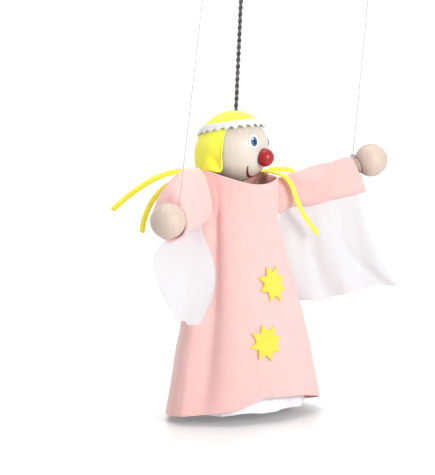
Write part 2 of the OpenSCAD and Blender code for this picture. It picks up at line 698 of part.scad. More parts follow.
// Seats a star on the dress at a bearing, square to the cloth there
module on_dress(bearing, z, spin) {
    here = dress_point(bearing, z, 0);
    side_step = dress_point(bearing + star_bearing_step, z, 0)
        - dress_point(bearing - star_bearing_step, z, 0);
    up_step = dress_point(bearing, z + star_d / 3, 0) - dress_point(bearing, z - star_d / 3, 0);
    x = unit(side_step);
    out = unit(cross(side_step, up_step));
    y = cross(out, x);
    translate(here) multmatrix([[x[0], y[0], out[0], 0], [x[1], y[1], out[1], 0], [x[2], y[2], out[2], 0],
        [0, 0, 0, 1]]) rotate([0, 0, spin]) children();
}
module upper_star() {
    color("#ffef46") placed() on_dress(upper_star_bearing, upper_star_share * neck_z, upper_star_spin)
        translate([0, 0, seat_gap]) linear_extrude(height = star_t) star_outline();
}
module lower_star() {
    color("#ffef46") placed() on_dress(lower_star_bearing, lower_star_share * neck_z, lower_star_spin)
        translate([0, 0, seat_gap]) linear_extrude(height = star_t) star_outline();
}

// Sleeve, a felt tube whose root follows the round shoulder and whose cuff hangs low.
// How far a place along it has opened from the root's tube to the cuff, 0 to 1
sleeve_cols = 24;
sleeve_neck_share = 0.15;
sleeve_steps = [-0.02, 0.03, 0.08, sleeve_neck_share, 0.3, 0.4, 0.5, 0.65, 0.8, 0.92, 1];
root_tube_r = sqrt(pow(shoulder_r, 2) - pow(sleeve_neck_share * sleeve_l, 2));
function cuff_h(side) = side == left ? left_cuff_h : right_cuff_h;
function cuff_w(side) = side == left ? left_cuff_w : right_cuff_w;
function opened(share) = max(0, (share - sleeve_neck_share) / (1 - sleeve_neck_share));
function round_r(share) = sqrt(max(0, pow(shoulder_r, 2) - pow(share * sleeve_l, 2)));
function half_of(size, share) = share <= sleeve_neck_share ? round_r(share)
    : root_tube_r + (size / 2 - root_tube_r) * opened(share);
function sag(side, share) = opened(share) * (cuff_h(side) / 2 - collar_d / 2 - felt_t - seat_gap);
// The right sleeve is pushed up, so between its root and its cuff the felt stands off the arm
puff_shares = [[0.08, 0], [sleeve_neck_share, 0.05], [0.3, 0.9], [0.4, 0.97], [0.5, 1], [0.65, 0.97],
    [0.8, 0.82], [0.92, 0.5], [1, 0]];
function puff(side, share) = side == left ? 0 : lookup(share, puff_shares);
function cuff_shift(side, share) = side == left ? 0 : -right_cuff_shift * opened(share);
function sleeve_row(side, share, inset) = [for (j = [0:sleeve_cols - 1]) let (a = 360 * j / sleeve_cols,
    w = half_of(cuff_w(side), share) - inset + (cos(a) < 0 ? right_swell_w * puff(side, share) : 0),
    h = half_of(cuff_h(side), share) - inset + (sin(a) > 0 ? right_puff_h * puff(side, share) : 0))
    [share * sleeve_l, w * cos(a) + cuff_shift(side, share), h * sin(a) - sag(side, share)]];
module sleeve(side) {
    color("#f7cfc6") placed() along_arm(side) polyhedron(
        points = ring_shell_points([for (share = sleeve_steps) sleeve_row(side, share, 0)],
            [for (share = sleeve_steps) sleeve_row(side, share, felt_t)]),
        faces = ring_shell_faces(len(sleeve_steps), sleeve_cols), convexity = shell_folds);
}

// Wings, cloth that hangs from the underside of a sleeve. Each row is places from the dress to the
// free edge, as shares of the wing's reach: along the arm, across it and up
wing_cols = 15;
wing_rows = 12;
left_wing_mid_shares = [[0.17, 0.05, -0.40], [0.33, 0.03, -0.40], [0.49, 0, -0.385], [0.65, 0.015, -0.36],
    [0.81, 0, -0.33]];
left_wing_low_shares = [[0.27, 0.07, -0.73], [0.45, 0.04, -0.73], [0.62, 0.02, -0.69], [0.80, 0.02, -0.65],
    [1, 0, -0.63]];
left_wing_top_shares = [0.03, 0.02, 0, 0, 0];
right_wing_mid_shares = [[0.24, 0.08, -0.42], [0.34, 0.16, -0.43], [0.50, 0.14, -0.42], [0.66, 0.01, -0.40],
    [0.84, -0.09, -0.35]];
right_wing_low_shares = [[0.37, 0.05, -0.72], [0.45, 0.09, -0.76], [0.55, 0.08, -0.76], [0.64, 0.05, -0.74],
    [0.72, 0.02, -0.69]];
right_wing_top_shares = [0, 0.01, 0, -0.035, -0.06];
wing_root_share = 0.18;
wing_folds = 2.5;
wing_fold_start = 60;

// A smooth line through evenly spaced values
function glide(v, t) = let (n = len(v) - 1, k = min(n - 1, floor(t * n)), f = t * n - k,
    a = v[max(k - 1, 0)], b = v[k], c = v[k + 1], d = v[min(k + 2, n)])
    b + f / 2 * (c - a + f * (2 * a - 5 * b + 4 * c - d + f * (3 * (b - c) + d - a)));
function under_sleeve(side, share, out) = let (
    w = half_of(cuff_w(side), share), h = half_of(cuff_h(side), share))
    sag(side, share) + h * sqrt(max(0, 1 - pow((out - cuff_shift(side, share)) / w, 2))) + seat_gap;
function wing_top(side, across) = let (share = wing_root_share + (1 - wing_root_share) * across,
    out = wing_reach * glide(side == left ? left_wing_top_shares : right_wing_top_shares, across),
    rise = rise_of(side), under = under_sleeve(side, share, out), s = share * sleeve_l)
    [s * cos(rise) + under * sin(rise), out, s * sin(rise) - under * cos(rise)];
function wing_point(side, across, down) = let (top = wing_top(side, across),
    mid = wing_reach * glide(side == left ? left_wing_mid_shares : right_wing_mid_shares, across),
    low = wing_reach * glide(side == left ? left_wing_low_shares : right_wing_low_shares, across))
    top * (1 - down) * (1 - 2 * down) + mid * 4 * down * (1 - down) + low * down * (2 * down - 1)
    + [0, wing_fold * down * cos(360 * wing_folds * across + wing_fold_start), 0];
function wing_grid(side, inset) = [for (i = [0:wing_rows - 1]) [for (j = [0:wing_cols - 1])
    wing_point(side, j / (wing_cols - 1), i / (wing_rows - 1)) + [0, inset, 0]]];
module wing(side) {
    color("#f8f8fa") placed() at_shoulder(side) polyhedron(
        points = ring_shell_points(wing_grid(side, wing_t), wing_grid(side, 0)),
        faces = sheet_faces(wing_rows, wing_cols), convexity = shell_folds);
}

// Control. The main bar is square to the rod, and the rocker hangs level in front of it
bar_x = (rocker_z - head_height) * tan(rod_lean);
bar_up = (rocker_z - head_height) / cos(rod_lean);
bar_front = rocker_reach - bar_w / 2 - pivot_washer_t;
module main_bar() {
    color("#d9b98c") placed() on_rod() translate([0, 0, bar_up]) difference() {
        union() {
            translate([-bar_w / 2, -bar_front, -bar_t / 2]) cube([bar_w, bar_front + bar_back_l, bar_t]);
            translate([0, bar_back_l, -bar_t / 2]) cylinder(d = bar_w, h = bar_t);
        }
        translate([0, 0, -bar_t]) cylinder(r = rod_r + glue_gap, h = 2 * bar_t);
        translate([0, -bar_front - cut, 0]) rotate([-90, 0, 0])
            cylinder(d = pivot_d + 2 * glue_gap, h = pivot_l - bar_w - pivot_washer_t + cut);
    }
}

module on_pivot() { translate([bar_x, -rocker_reach, rocker_z]) children(); }
module rocker_bar() {
    color("#d9b98c") placed() on_pivot() difference() {
        union() {
            translate([-rocker_half, -bar_w / 2, -bar_t / 2]) cube([2 * rocker_half, bar_w, bar_t]);
            for (side = [left, right]) translate([side * rocker_half, 0, -bar_t / 2])
                cylinder(r = rocker_end, h = bar_t);
        }
        rotate([90, 0, 0]) cylinder(d = pivot_d + 2 * running_gap, h = bar_w + 2 * cut, center = true);
        for (side = [left, right]) translate([side * rocker_half, 0, -bar_t / 2]) {
            translate([0, 0, bar_t - recess_h]) cylinder(d = recess_d, h = recess_h + cut);
            translate([0, 0, -cut]) cylinder(d = string_hole_d, h = bar_t + 2 * cut);
            translate([0, 0, -glue_gap])
                cylinder(d1 = recess_d, d2 = string_hole_d, h = bar_t - recess_h - cut);
        }
    }
}
screw_shoulder_share = 0.8;
slot_share = 0.25;
module rocker_screw() {
    color("#b9b6b2") placed() on_pivot() translate([0, -bar_w / 2 - running_gap, 0]) rotate([-90, 0, 0]) {
        cylinder(d = pivot_d, h = pivot_l);
        translate([0, 0, -pivot_d / 2]) difference() {
            cylinder(d1 = pivot_head_d * screw_shoulder_share, d2 = pivot_head_d, h = pivot_d / 2);
            translate([-pivot_head_d, -cut / 2, -cut])
                cube([2 * pivot_head_d, cut, cut + pivot_d * slot_share]);
        }
    }
}
module rocker_washer() {
    color("#b9b6b2") placed() on_pivot() translate([0, bar_w / 2 + running_gap, 0]) rotate([-90, 0, 0])
        difference() {
            cylinder(d = pivot_head_d + pivot_d, h = pivot_washer_t - 2 * running_gap);
            translate([0, 0, -cut]) cylinder(d = pivot_d + 2 * running_gap, h = pivot_washer_t + 2 * cut);
        }
}

// Hand strings, taut from the wrist knots to the stop beads in the rocker
function arm_vector(side, along, up, across) = let (h = heading_of(side), e = rise_of(side)) [
    along * cos(e) * cos(h) - up * sin(e) * cos(h) - across * sin(h),
    along * cos(e) * sin(h) - up * sin(e) * sin(h) + across * cos(h), along * sin(e) + up * cos(e)];
knot_reach = tie_r + tie_knot_d + 2 * running_gap;
function knot_place(side) = let (turn = side == left ? 0 : right_knot_turn)
    [side * shoulder_x, 0, shoulder_z]
    + arm_vector(side, groove_at, knot_reach * cos(turn), knot_reach * sin(turn));
function hole_place(side) = [bar_x + side * rocker_half, -rocker_reach,
    rocker_z + bar_t / 2 - recess_h / 2 - seat_gap];
// A bead's middle stands proud of its hole's middle by half the recess and a share of its own size
bead_proud_share = 1 / 6;
bead_rise = recess_h / 2 + bead_d * bead_proud_share;
function string_run(side) = hole_place(side) - knot_place(side);
function string_l(side) = norm(string_run(side)) * (1 + bead_rise / string_run(side)[2]);
module on_string(side) {
    v = string_run(side);
    translate(knot_place(side)) rotate([0, acos(v[2] / norm(v)), atan2(v[1], v[0])]) children();
}
module hand_string(side) {
    color("#c8c8c8") placed() on_string(side)
        cylinder(d = string_d, h = string_l(side) + bead_d, $fn = wire_sides);
}
module stop_bead(side) {
    color("#e2c9a4") placed() on_string(side) translate([0, 0, string_l(side)]) difference() {
        sphere(d = bead_d);
        cylinder(d = string_d + 2 * glue_gap, h = 2 * bead_d, center = true, $fn = wire_sides);
    }
}

head();
nose();
eye_whites();
eye_irises();
mouth_line();
hair_cap();
headband();
left_hair_strips();
right_hair_strips();
head_rod();
head_stop();
torso_block();
neck_screw_eye();
shoulder_pin(left);  // left_shoulder_pin
shoulder_pin(right);  // right_shoulder_pin
arm_dowel(left);  // left_arm_dowel
arm_dowel(right);  // right_arm_dowel
hand(left);  // left_hand
hand(right);  // right_hand
wrist_tie(left);  // left_wrist_tie
wrist_tie(right);  // right_wrist_tie
sleeve(left);  // left_sleeve
sleeve(right);  // right_sleeve
dress_body();
petticoat();
upper_star();
lower_star();
wing(left);  // left_wing
wing(right);  // right_wing
main_bar();
rocker_bar();
rocker_screw();
rocker_washer();
hand_string(left);  // left_hand_string
hand_string(right);  // right_hand_string
stop_bead(left);  // left_stop_bead
stop_bead(right);  // right_stop_bead
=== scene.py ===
import math

import bmesh
import bpy
import numpy as np
from mathutils import Matrix, Vector, noise


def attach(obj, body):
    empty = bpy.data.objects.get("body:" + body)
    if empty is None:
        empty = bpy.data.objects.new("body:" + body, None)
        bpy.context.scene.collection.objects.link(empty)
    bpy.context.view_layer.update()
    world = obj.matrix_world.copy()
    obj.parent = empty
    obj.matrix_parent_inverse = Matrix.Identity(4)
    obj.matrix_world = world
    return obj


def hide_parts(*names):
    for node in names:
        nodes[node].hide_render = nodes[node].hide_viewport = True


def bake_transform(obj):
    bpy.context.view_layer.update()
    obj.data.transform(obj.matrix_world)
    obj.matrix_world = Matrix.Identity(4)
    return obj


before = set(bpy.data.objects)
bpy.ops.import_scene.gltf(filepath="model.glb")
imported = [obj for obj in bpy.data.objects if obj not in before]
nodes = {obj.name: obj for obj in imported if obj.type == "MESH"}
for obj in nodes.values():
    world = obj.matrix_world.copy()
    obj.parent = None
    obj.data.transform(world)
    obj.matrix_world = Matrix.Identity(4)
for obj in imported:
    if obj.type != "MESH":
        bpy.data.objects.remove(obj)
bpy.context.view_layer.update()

# Camera. A long lens stands a little above the puppet's middle, off to its right, and looks a
# little down.
HANGING_POINT = Vector((8.4219, 0, 338))


def on_stand(place):
    """A place on the maker's drawing, millimetres above the hem, as a place in the frame."""
    return (Vector(place) - HANGING_POINT) / 1000


def turned(axis, degrees):
    """A turn about an axis."""
    return Matrix.Rotation(math.radians(degrees), 4, axis)


camera_aim = on_stand((-9.3, 5.8, 118.7))
camera_distance = 1.25
camera_side = -32
camera_height_angle = 6.5
camera = bpy.data.objects.new("camera", bpy.data.cameras.new("camera"))
camera.data.lens = 144.4
camera.data.clip_end = 20
camera_back = turned("Z", camera_side) @ turned("X", -camera_height_angle) @ Vector((0, -1, 0))
camera.location = camera_aim + camera_distance * camera_back
camera.rotation_euler = camera_back.to_track_quat("Z", "Y").to_euler()
bpy.context.scene.collection.objects.link(camera)
bpy.context.scene.camera = camera

# Hand strings. A fine grey twisted thread runs from the knot on each wrist up through the rocker,
# where a turned bead and a small knot stop it. The weight of the arm keeps it taut.
LEFT, RIGHT = 1, -1
SIDE_NAMES = {LEFT: "left", RIGHT: "right"}
string_d = 0.5
bead_d = 4.6
string_tail = 4.2
string_points = 24
string_knot_size = 0.45
string_knot_r = 0.28
string_knot_gap = 0.7
string_feet = {LEFT: (80.869, -20.265, 171.7), RIGHT: (-70.885, -48.011, 146.261)}
string_holes = {LEFT: (68.03, -57.1, 302.45), RIGHT: (-55.17, -57.1, 302.45)}
string_to_bead = {LEFT: 139.15, RIGHT: 159.81}
# Each step of a rounded tip, as shares of the radius before it: how far out, and how thick
tip_steps = ((0.3, 0.8), (0.475, 0.32))


def shown(name, mesh):
    """A mesh as a piece of the puppet."""
    piece = bpy.data.objects.new(name, mesh)
    bpy.context.scene.collection.objects.link(piece)
    return piece


def skin(name, rows, ring=False, capped=False, outward=False):
    """A smooth piece over rows of places on the drawing. In a ring the rows close on themselves."""
    cols = len(rows[0])
    faces = []
    for i in range(len(rows) - 1):
        for j in range(cols if ring else cols - 1):
            k = (j + 1) % cols
            faces.append((i * cols + j, i * cols + k, (i + 1) * cols + k, (i + 1) * cols + j))
    if capped:
        faces.append(tuple(reversed(range(cols))))
        faces.append(tuple(range((len(rows) - 1) * cols, len(rows) * cols)))
    mesh = bpy.data.meshes.new(name)
    mesh.from_pydata([on_stand(place) for row in rows for place in row], [], faces)
    mesh.shade_smooth()
    if outward:
        faced = bmesh.new()
        faced.from_mesh(mesh)
        bmesh.ops.recalc_face_normals(faced, faces=faced.faces)
        faced.to_mesh(mesh)
    return shown(name, mesh)


def wire(name, path, radius, sides=12):
    """A round thread or wire along a path, with rounded ends. The radius may change along it."""
    path = [Vector(p) for p in path]
    radii = [radius] * len(path) if isinstance(radius, (int, float)) else list(radius)
    tips = [path[0] - path[1], path[-1] - path[-2]]
    for out, shrink in tip_steps:
        path.insert(0, path[0] + tips[0].normalized() * radii[0] * out)
        path.append(path[-1] + tips[1].normalized() * radii[-1] * out)
        radii.insert(0, radii[0] * shrink)
        radii.append(radii[-1] * shrink)
    rows, across = [], (path[1] - path[0]).orthogonal().normalized()
    for i, here in enumerate(path):
        along = (path[min(i + 1, len(path) - 1)] - path[max(i - 1, 0)]).normalized()
        across = (across - along * across.dot(along)).normalized()
        other = along.cross(across)
        rows.append([here + radii[i] * (across * math.cos(a) + other * math.sin(a))
                     for a in (2 * math.pi * j / sides for j in range(sides))])
    return skin(name, rows, ring=True, capped=True)


def small_knot(middle, size, height, steps):
    """The path of a thread through a small overhand knot."""
    return [middle + Vector((size * (math.sin(t) + 2 * math.sin(2 * t)),
                             size * (math.cos(t) - 2 * math.cos(2 * t)), -height * math.sin(3 * t)))
            for t in (2 * math.pi * i / steps for i in range(steps + 1))]


def for_socket(value):
    """A number as it is, or a colour as it looks, 0 to 255, as a shader socket takes it."""
    if not isinstance(value, tuple):
        return value
    return (*(((c / 255 + 0.055) / 1.055) ** 2.4 if c > 10 else c / 3295 for c in value), 1)


def effect(name, **values):
    """A new shader node group, which takes a colour, a shade and its own named values."""
    group = bpy.data.node_groups.new(name, "ShaderNodeTree")
    for label in ("Colour", "Shade"):
        group.interface.new_socket(name=label, in_out="INPUT", socket_type="NodeSocketColor")
    for label, value in values.items():
        taken = group.interface.new_socket(name=label.replace("_", " "), in_out="INPUT",
                                           socket_type="NodeSocketFloat")
        taken.default_value = value
    return group, group.nodes.new("NodeGroupInput").outputs


def puts_out(group, **results):
    """Gives an effect its named outputs: its colour, and its roughness or height over the surface."""
    for label in results:
        kind = "NodeSocketColor" if label == "Colour" else "NodeSocketFloat"
        group.interface.new_socket(name=label, in_out="OUTPUT", socket_type=kind)
    ends = group.nodes.new("NodeGroupOutput").inputs
    for label, result in results.items():
        group.links.new(result, ends[label])
    return group


def node_in(tree, kind, *values, mode=None, **named):
    """Adds one shader node, sets or links its sockets by order or by name, and gives its result."""
    made = tree.nodes.new("ShaderNode" + kind)
    if mode:
        made.operation = mode
    sockets = list(zip([s for s in made.inputs if s.enabled], values))
    sockets += [(made.inputs[label.replace("_", " ")], value) for label, value in named.items()]
    for socket, value in sockets:
        if isinstance(value, bpy.types.NodeSocket):
            tree.links.new(value, socket)
        elif value is not None:
            socket.default_value = value
    return made.outputs.get("Fac") or made.outputs[0]


def toned(group, factor, low, high):
    """Lets a factor over the surface run the colour from one given colour to the other."""
    mix = group.nodes.new("ShaderNodeMix")
    mix.data_type = "RGBA"
    low_in, high_in, mixed = mix.inputs[6], mix.inputs[7], mix.outputs[2]
    for source, end in ((factor, mix.inputs["Factor"]), (low, low_in), (high, high_in)):
        group.links.new(source, end)
    return mixed


def coordinates(tree, along=1, tilt=(0, 0, 0)):
    """The piece's own coordinates in millimetres, stretched along its Z and tilted."""
    own = tree.nodes.new("ShaderNodeTexCoord").outputs["Object"]
    return node_in(tree, "Mapping", Vector=own, Rotation=[math.radians(a) for a in tilt],
                   Scale=(1000, 1000, 1000 * along))


def finish(name, group, bump=0, bump_height=0.3, shader=(), **values):
    """A material: one effect group with its own values, on a Principled shader of its own."""
    material = bpy.data.materials.new(name)
    material.use_nodes = True
    tree = material.node_tree
    principled = tree.nodes["Principled BSDF"]
    applied = tree.nodes.new("ShaderNodeGroup")
    applied.node_tree = group
    for label, value in values.items():
        applied.inputs[label.replace("_", " ")].default_value = for_socket(value)
    tree.links.new(applied.outputs["Colour"], principled.inputs["Base Color"])
    if "Roughness" in applied.outputs:
        tree.links.new(applied.outputs["Roughness"], principled.inputs["Roughness"])
    if bump:
        raised = node_in(tree, "Bump", Strength=bump, Distance=bump_height / 1000,
                         Height=applied.outputs["Height"])
        tree.links.new(raised, principled.inputs["Normal"])
    for label, value in dict(shader).items():
        principled.inputs[label].default_value = value
    return material


def dressed(piece, material, body=None):
    """Gives a piece its material, and sets it on its body when one is given."""
    piece.data.materials.clear()
    piece.data.materials.append(material)
    if body:
        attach(piece, body)
    return piece


def twisted_thread():
    """Spun fibre: strands that wind round the thread, and loose fuzz."""
    group, given = effect("twisted_thread", Turns=1.2)
    place = coordinates(group, tilt=(35, 25, 0))
    strands = node_in(group, "TexWave", Vector=place, Scale=given["Turns"], Distortion=1.5)
    fuzz = node_in(group, "TexNoise", Vector=place, Scale=2.4, Detail=4)
    height = node_in(group, "Math", strands, fuzz, mode="MULTIPLY")
    return puts_out(group, Colour=toned(group, height, given["Shade"], given["Colour"]), Height=height)


thread_effect = twisted_thread()
grey_thread = finish("grey_thread", thread_effect, bump=0.4, shader={"Roughness": 0.7},
                     Colour=(208, 208, 208), Shade=(168, 168, 168))
for side, side_name in SIDE_NAMES.items():
    foot = Vector(string_feet[side])
    pull = (Vector(string_holes[side]) - foot).normalized()
    length = string_to_bead[side] + string_tail
    run = [foot + pull * length * i / (string_points - 1) for i in range(string_points)]
    string = wire(side_name + "_string", run, string_d / 2, sides=10)
    dressed(string, grey_thread, side_name + "_string")
    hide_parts(side_name + "_hand_string")
    above_bead = foot + pull * (string_to_bead[side] + bead_d / 2 + string_knot_gap)
    knot = wire(side_name + "_string_knot",
                small_knot(above_bead, string_knot_size, string_knot_size, 30), string_knot_r, sides=8)
    dressed(knot, grey_thread, side_name + "_string")

# Floor and light. The puppet hangs just over a white sweep, which keeps its shadow, under soft
# lamps from the right, the left and above.
floor_half = 1400
floor_z = 2.1
floor_colour = (226, 226, 227)
floor_glow = 0.16
sweep_start = 260
sweep_radius = 500
sweep_top = 2600
sweep_steps = 24
world_light = 0.48


def white_sweep():
    """Near-white paper: the camera and gloss see it bright, and it still takes a shadow."""
    material = bpy.data.materials.new("white_sweep")
    material.use_nodes = True
    tree = material.node_tree
    principled = tree.nodes["Principled BSDF"]
    principled.inputs["Base Color"].default_value = for_socket(floor_colour)
    principled.inputs["Roughness"].default_value = 0.35
    seen = tree.nodes.new("ShaderNodeLightPath")
    straight = node_in(tree, "Math", seen.outputs["Is Camera Ray"], seen.outputs["Is Glossy Ray"],
                       mode="MAXIMUM")
    glow = node_in(tree, "Math", straight, floor_glow, mode="MULTIPLY")
    principled.inputs["Emission Color"].default_value = (1, 1, 1, 1)
    tree.links.new(glow, principled.inputs["Emission Strength"])
    return material


sweep_rows = [(-floor_half, 0), (sweep_start, 0)]
for i in range(1, sweep_steps + 1):
    a = math.pi / 2 * i / sweep_steps
    sweep_rows.append((sweep_start + sweep_radius * math.sin(a), sweep_radius * (1 - math.cos(a))))
sweep_rows.append((sweep_start + sweep_radius, sweep_top))
away = turned("Z", camera_side)
sweep = skin("floor", [[away @ Vector((x, far, up + floor_z)) for x in (-floor_half, floor_half)]
                       for far, up in sweep_rows])
sweep.data.materials.append(white_sweep())

world = bpy.data.worlds.new("studio")
bpy.context.scene.world = world
world.use_nodes = True
sky = world.node_tree
backdrop = sky.nodes["Background"]
backdrop.inputs["Color"].default_value = (1, 1, 1, 1)
ray = sky.nodes.new("ShaderNodeLightPath")
direct = node_in(sky, "Math", ray.outputs["Is Camera Ray"], ray.outputs["Is Glossy Ray"],
                 mode="MAXIMUM")
direct = node_in(sky, "Math", direct, ray.outputs["Is Transmission Ray"], mode="MAXIMUM")
level = node_in(sky, "Math", direct, 1 - world_light, world_light, mode="MULTIPLY_ADD")
sky.links.new(level, backdrop.inputs["Strength"])


def lamp(name, place, size, power, aim=(0, 0, 110)):
    """A square soft lamp, placed as seen from the camera's side."""
    light = bpy.data.objects.new(name, bpy.data.lights.new(name, "AREA"))
    light.data.size = size
    light.data.energy = power
    light.location = on_stand(away @ Vector(place))
    light.rotation_euler = (light.location - on_stand(aim)).to_track_quat("Z", "Y").to_euler()
    bpy.context.scene.collection.objects.link(light)


lamp("key_lamp", place=(700, -950, 450), size=0.5, power=11)
lamp("side_lamp", place=(-1000, 250, 300), size=0.8, power=1.5)
lamp("top_lamp", place=(-100, 50, 1150), size=0.8, power=7.5)
bpy.context.scene.view_settings.view_transform = "Standard"

# Head rod. Two dark iron wires are twisted together, so that light catches each strand once a
# turn. Above they are bent to the hanging hook, and a ring of plain wire closes the foot. A zinc
# washer on it carries the head.
head_height = 177.3
head_r = 22.5
rod_lean = 3
rod_up = 144.72
rod_foot = -23.75
rod_pitch = 8.4
rod_steps = 230
bend_length, bend_steps = 4.5, 8
hook_r = 8.7
hook_start, hook_sweep, hook_steps = 246, 266, 70
strand_r = {"rod": 0.76, "hook": 0.62}
strand_thins_at = 215
strand_off_middle = 0.94
eye_centre = -27.05
eye_ring_r = 3.3
eye_wire_r = 0.8
eye_start, eye_sweep, eye_steps = 94, 352, 48
rod_frame = Matrix.Translation((0, 0, head_height)) @ turned("Y", rod_lean)


def recoat(material, *names):
    """Gives the frame's own pieces a material."""
    for name in names:
        for place in nodes[name].material_slots:
            place.material = material


def worn_metal():
    """Drawn metal: fine lines along it, dull patches and dirt."""
    group, given = effect("worn_metal", Polish=0.35)
    patches = node_in(group, "TexNoise", Vector=coordinates(group), Scale=0.35, Detail=5)
    lines = node_in(group, "TexNoise", Vector=coordinates(group, along=0.15), Scale=3, Detail=3)
    worn = node_in(group, "Math", patches, lines, mode="MULTIPLY")
    spread = node_in(group, "MapRange", worn, 0.12, 0.4, 0, 1)
    dull = node_in(group, "Math", patches, 0.3, given["Polish"], mode="MULTIPLY_ADD")
    return puts_out(group, Colour=toned(group, spread, given["Shade"], given["Colour"]), Roughness=dull,
                    Height=lines)


metal_effect = worn_metal()
dark_wire = finish("dark_wire", metal_effect, bump=0.2, bump_height=0.1, shader={"Metallic": 0.75},
                   Colour=(132, 126, 129), Shade=(52, 47, 50), Polish=0.16)


def on_hook(degrees):
    """A place on the hook's round, in the rod's own place."""
    a = math.radians(degrees)
    return Vector((hook_r * math.cos(a), 0, rod_up + hook_r * (1 + math.sin(a))))


def bent(start, corner, end, t):
    """A curve that leaves one place towards a corner, and comes from the corner to another."""
    return (1 - t) ** 2 * start + 2 * t * (1 - t) * corner + t * t * end


rod_bend = rod_up - bend_length
rod_line = [Vector((0, 0, rod_foot + (rod_bend - rod_foot) * i / rod_steps)) for i in range(rod_steps + 1)]
rod_line += [bent(rod_line[-1], Vector((0, 0, rod_up)), on_hook(hook_start), i / bend_steps)
             for i in range(1, bend_steps + 1)]
rod_line += [on_hook(hook_start - hook_sweep * i / hook_steps) for i in range(1, hook_steps + 1)]
for strand, start in (("first", 0), ("second", 180)):
    gone, wound, sizes, level = 0, [], [], Vector((0, 1, 0))
    for i, here in enumerate(rod_line):
        gone += (here - rod_line[i - 1]).length if i else 0
        along = (rod_line[min(i + 1, len(rod_line) - 1)] - rod_line[max(i - 1, 0)]).normalized()
        turn = math.radians(start + 360 * gone / rod_pitch)
        size = strand_r["rod" if i < strand_thins_at else "hook"]
        off_middle = math.cos(turn) * level + math.sin(turn) * along.cross(level)
        wound.append(rod_frame @ (here + strand_off_middle * size * off_middle))
        sizes.append(size)
    piece = dressed(wire("rod_" + strand + "_strand", wound, sizes), dark_wire, "control")
    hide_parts("head_rod")
ring = [rod_frame @ Vector((eye_ring_r * math.cos(a), 0, eye_centre + eye_ring_r * math.sin(a)))
        for a in (math.radians(eye_start + eye_sweep * i / eye_steps) for i in range(eye_steps + 1))]
dressed(wire("rod_foot_eye", ring, eye_wire_r), dark_wire, "control")
zinc = finish("zinc_steel", metal_effect, bump=0.15, bump_height=0.1, shader={"Metallic": 1},
              Colour=(190, 190, 190), Shade=(140, 140, 142), Polish=0.25)
recoat(zinc, "head_stop")

# Head. A ball turned from pale close-grained wood, bored for the rod, sanded and waxed. Faint
# growth lines run down the cheeks.
head_yaw = 26
head_frame = rod_frame @ turned("Z", head_yaw)
grain_tilt = (8, 16, 30)


def turned_wood():
    """Close-grained wood: wide growth lines, short pores and a little wax."""
    group, given = effect("turned_wood", Lines=0.5, Line_size=0.22)
    place = coordinates(group, along=0.12, tilt=grain_tilt)
    rings = node_in(group, "TexWave", Vector=place, Scale=given["Line size"], Distortion=11, Detail=3,
                    Detail_Scale=0.22)
    pores = node_in(group, "TexNoise", Vector=coordinates(group, along=0.06, tilt=grain_tilt), Scale=3.4,
                    Detail=5)
    clouds = node_in(group, "TexNoise", Vector=coordinates(group), Scale=0.06, Detail=2)
    narrow = node_in(group, "Math", rings, 3, mode="POWER")
    lined = node_in(group, "Math", narrow, given["Lines"], mode="MULTIPLY")
    pored = node_in(group, "Math", pores, 0.3, lined, mode="MULTIPLY_ADD")
    total = node_in(group, "Math", clouds, 0.4, pored, mode="MULTIPLY_ADD")
    spread = node_in(group, "MapRange", total, 0.15, 0.95, 0, 1)
    waxed = node_in(group, "MapRange", pores, 0.2, 0.8, 0.38, 0.55)
    return puts_out(group, Colour=toned(group, spread, given["Colour"], given["Shade"]), Roughness=waxed,
                    Height=pored)


wood_effect = turned_wood()
warm_wood = {"Subsurface Weight": 0.6, "Subsurface Scale": 0.008, "Subsurface Radius": (1, 0.4, 0.25)}
face_wood = finish("face_wood", wood_effect, bump=0.12, bump_height=0.12, shader=warm_wood,
                   Colour=(217, 209, 198), Shade=(205, 190, 175), Lines=0.1, Line_size=0.07)
recoat(face_wood, "head")

# Nose. A small wooden ball is dipped in red lacquer, which dries glossy and a little uneven, and is
# glued into a dimple of the face.
def brushed_paint():
    """Paint put on by hand: soft brush strokes, a little uneven in shade and gloss."""
    group, given = effect("brushed_paint", Gloss=0.2)
    strokes = node_in(group, "TexNoise", Vector=coordinates(group, along=0.4, tilt=(20, 30, 0)), Scale=0.8,
                      Detail=3)
    uneven = node_in(group, "Math", strokes, 0.12, given["Gloss"], mode="MULTIPLY_ADD")
    return puts_out(group, Colour=toned(group, strokes, given["Shade"], given["Colour"]), Roughness=uneven,
                    Height=strokes)


paint_effect = brushed_paint()
red_lacquer = finish("red_lacquer", paint_effect, bump=0.08, bump_height=0.2,
                     shader={"Coat Weight": 0.35, "Coat Roughness": 0.16, "Specular IOR Level": 0.3},
                     Colour=(176, 16, 22), Shade=(142, 8, 13), Gloss=0.32)
recoat(red_lacquer, "nose")

# Eyes. Painted by hand on the wood: a white oval, a blue iris with a darker rim and a deep blue
# pupil. A white dot on each iris is a painted highlight, where the light catches the glossy eye.
eye_azimuth = 24
eye_rise = 15
film_cols = 40
# Each ring of a film: its share of the width and height, and of the thickness
film_rings = ((0, 1), (0.5, 1), (0.8, 0.96), (0.93, 0.75), (0.99, 0.4), (1.02, -0.4))


def face_on(azimuth, rise):
    """The face's own place at a bearing and a rise: X across it, Y up it and Z out of the wood."""
    return head_frame @ turned("Z", azimuth) @ turned("X", -rise) @ turned("X", 90)


def on_ball(u, v, off):
    """A place over the head's ball, off its surface, at u across and v up from where one looks."""
    r = head_r + off
    return Vector((u, v, math.sqrt(r * r - u * u - v * v)))


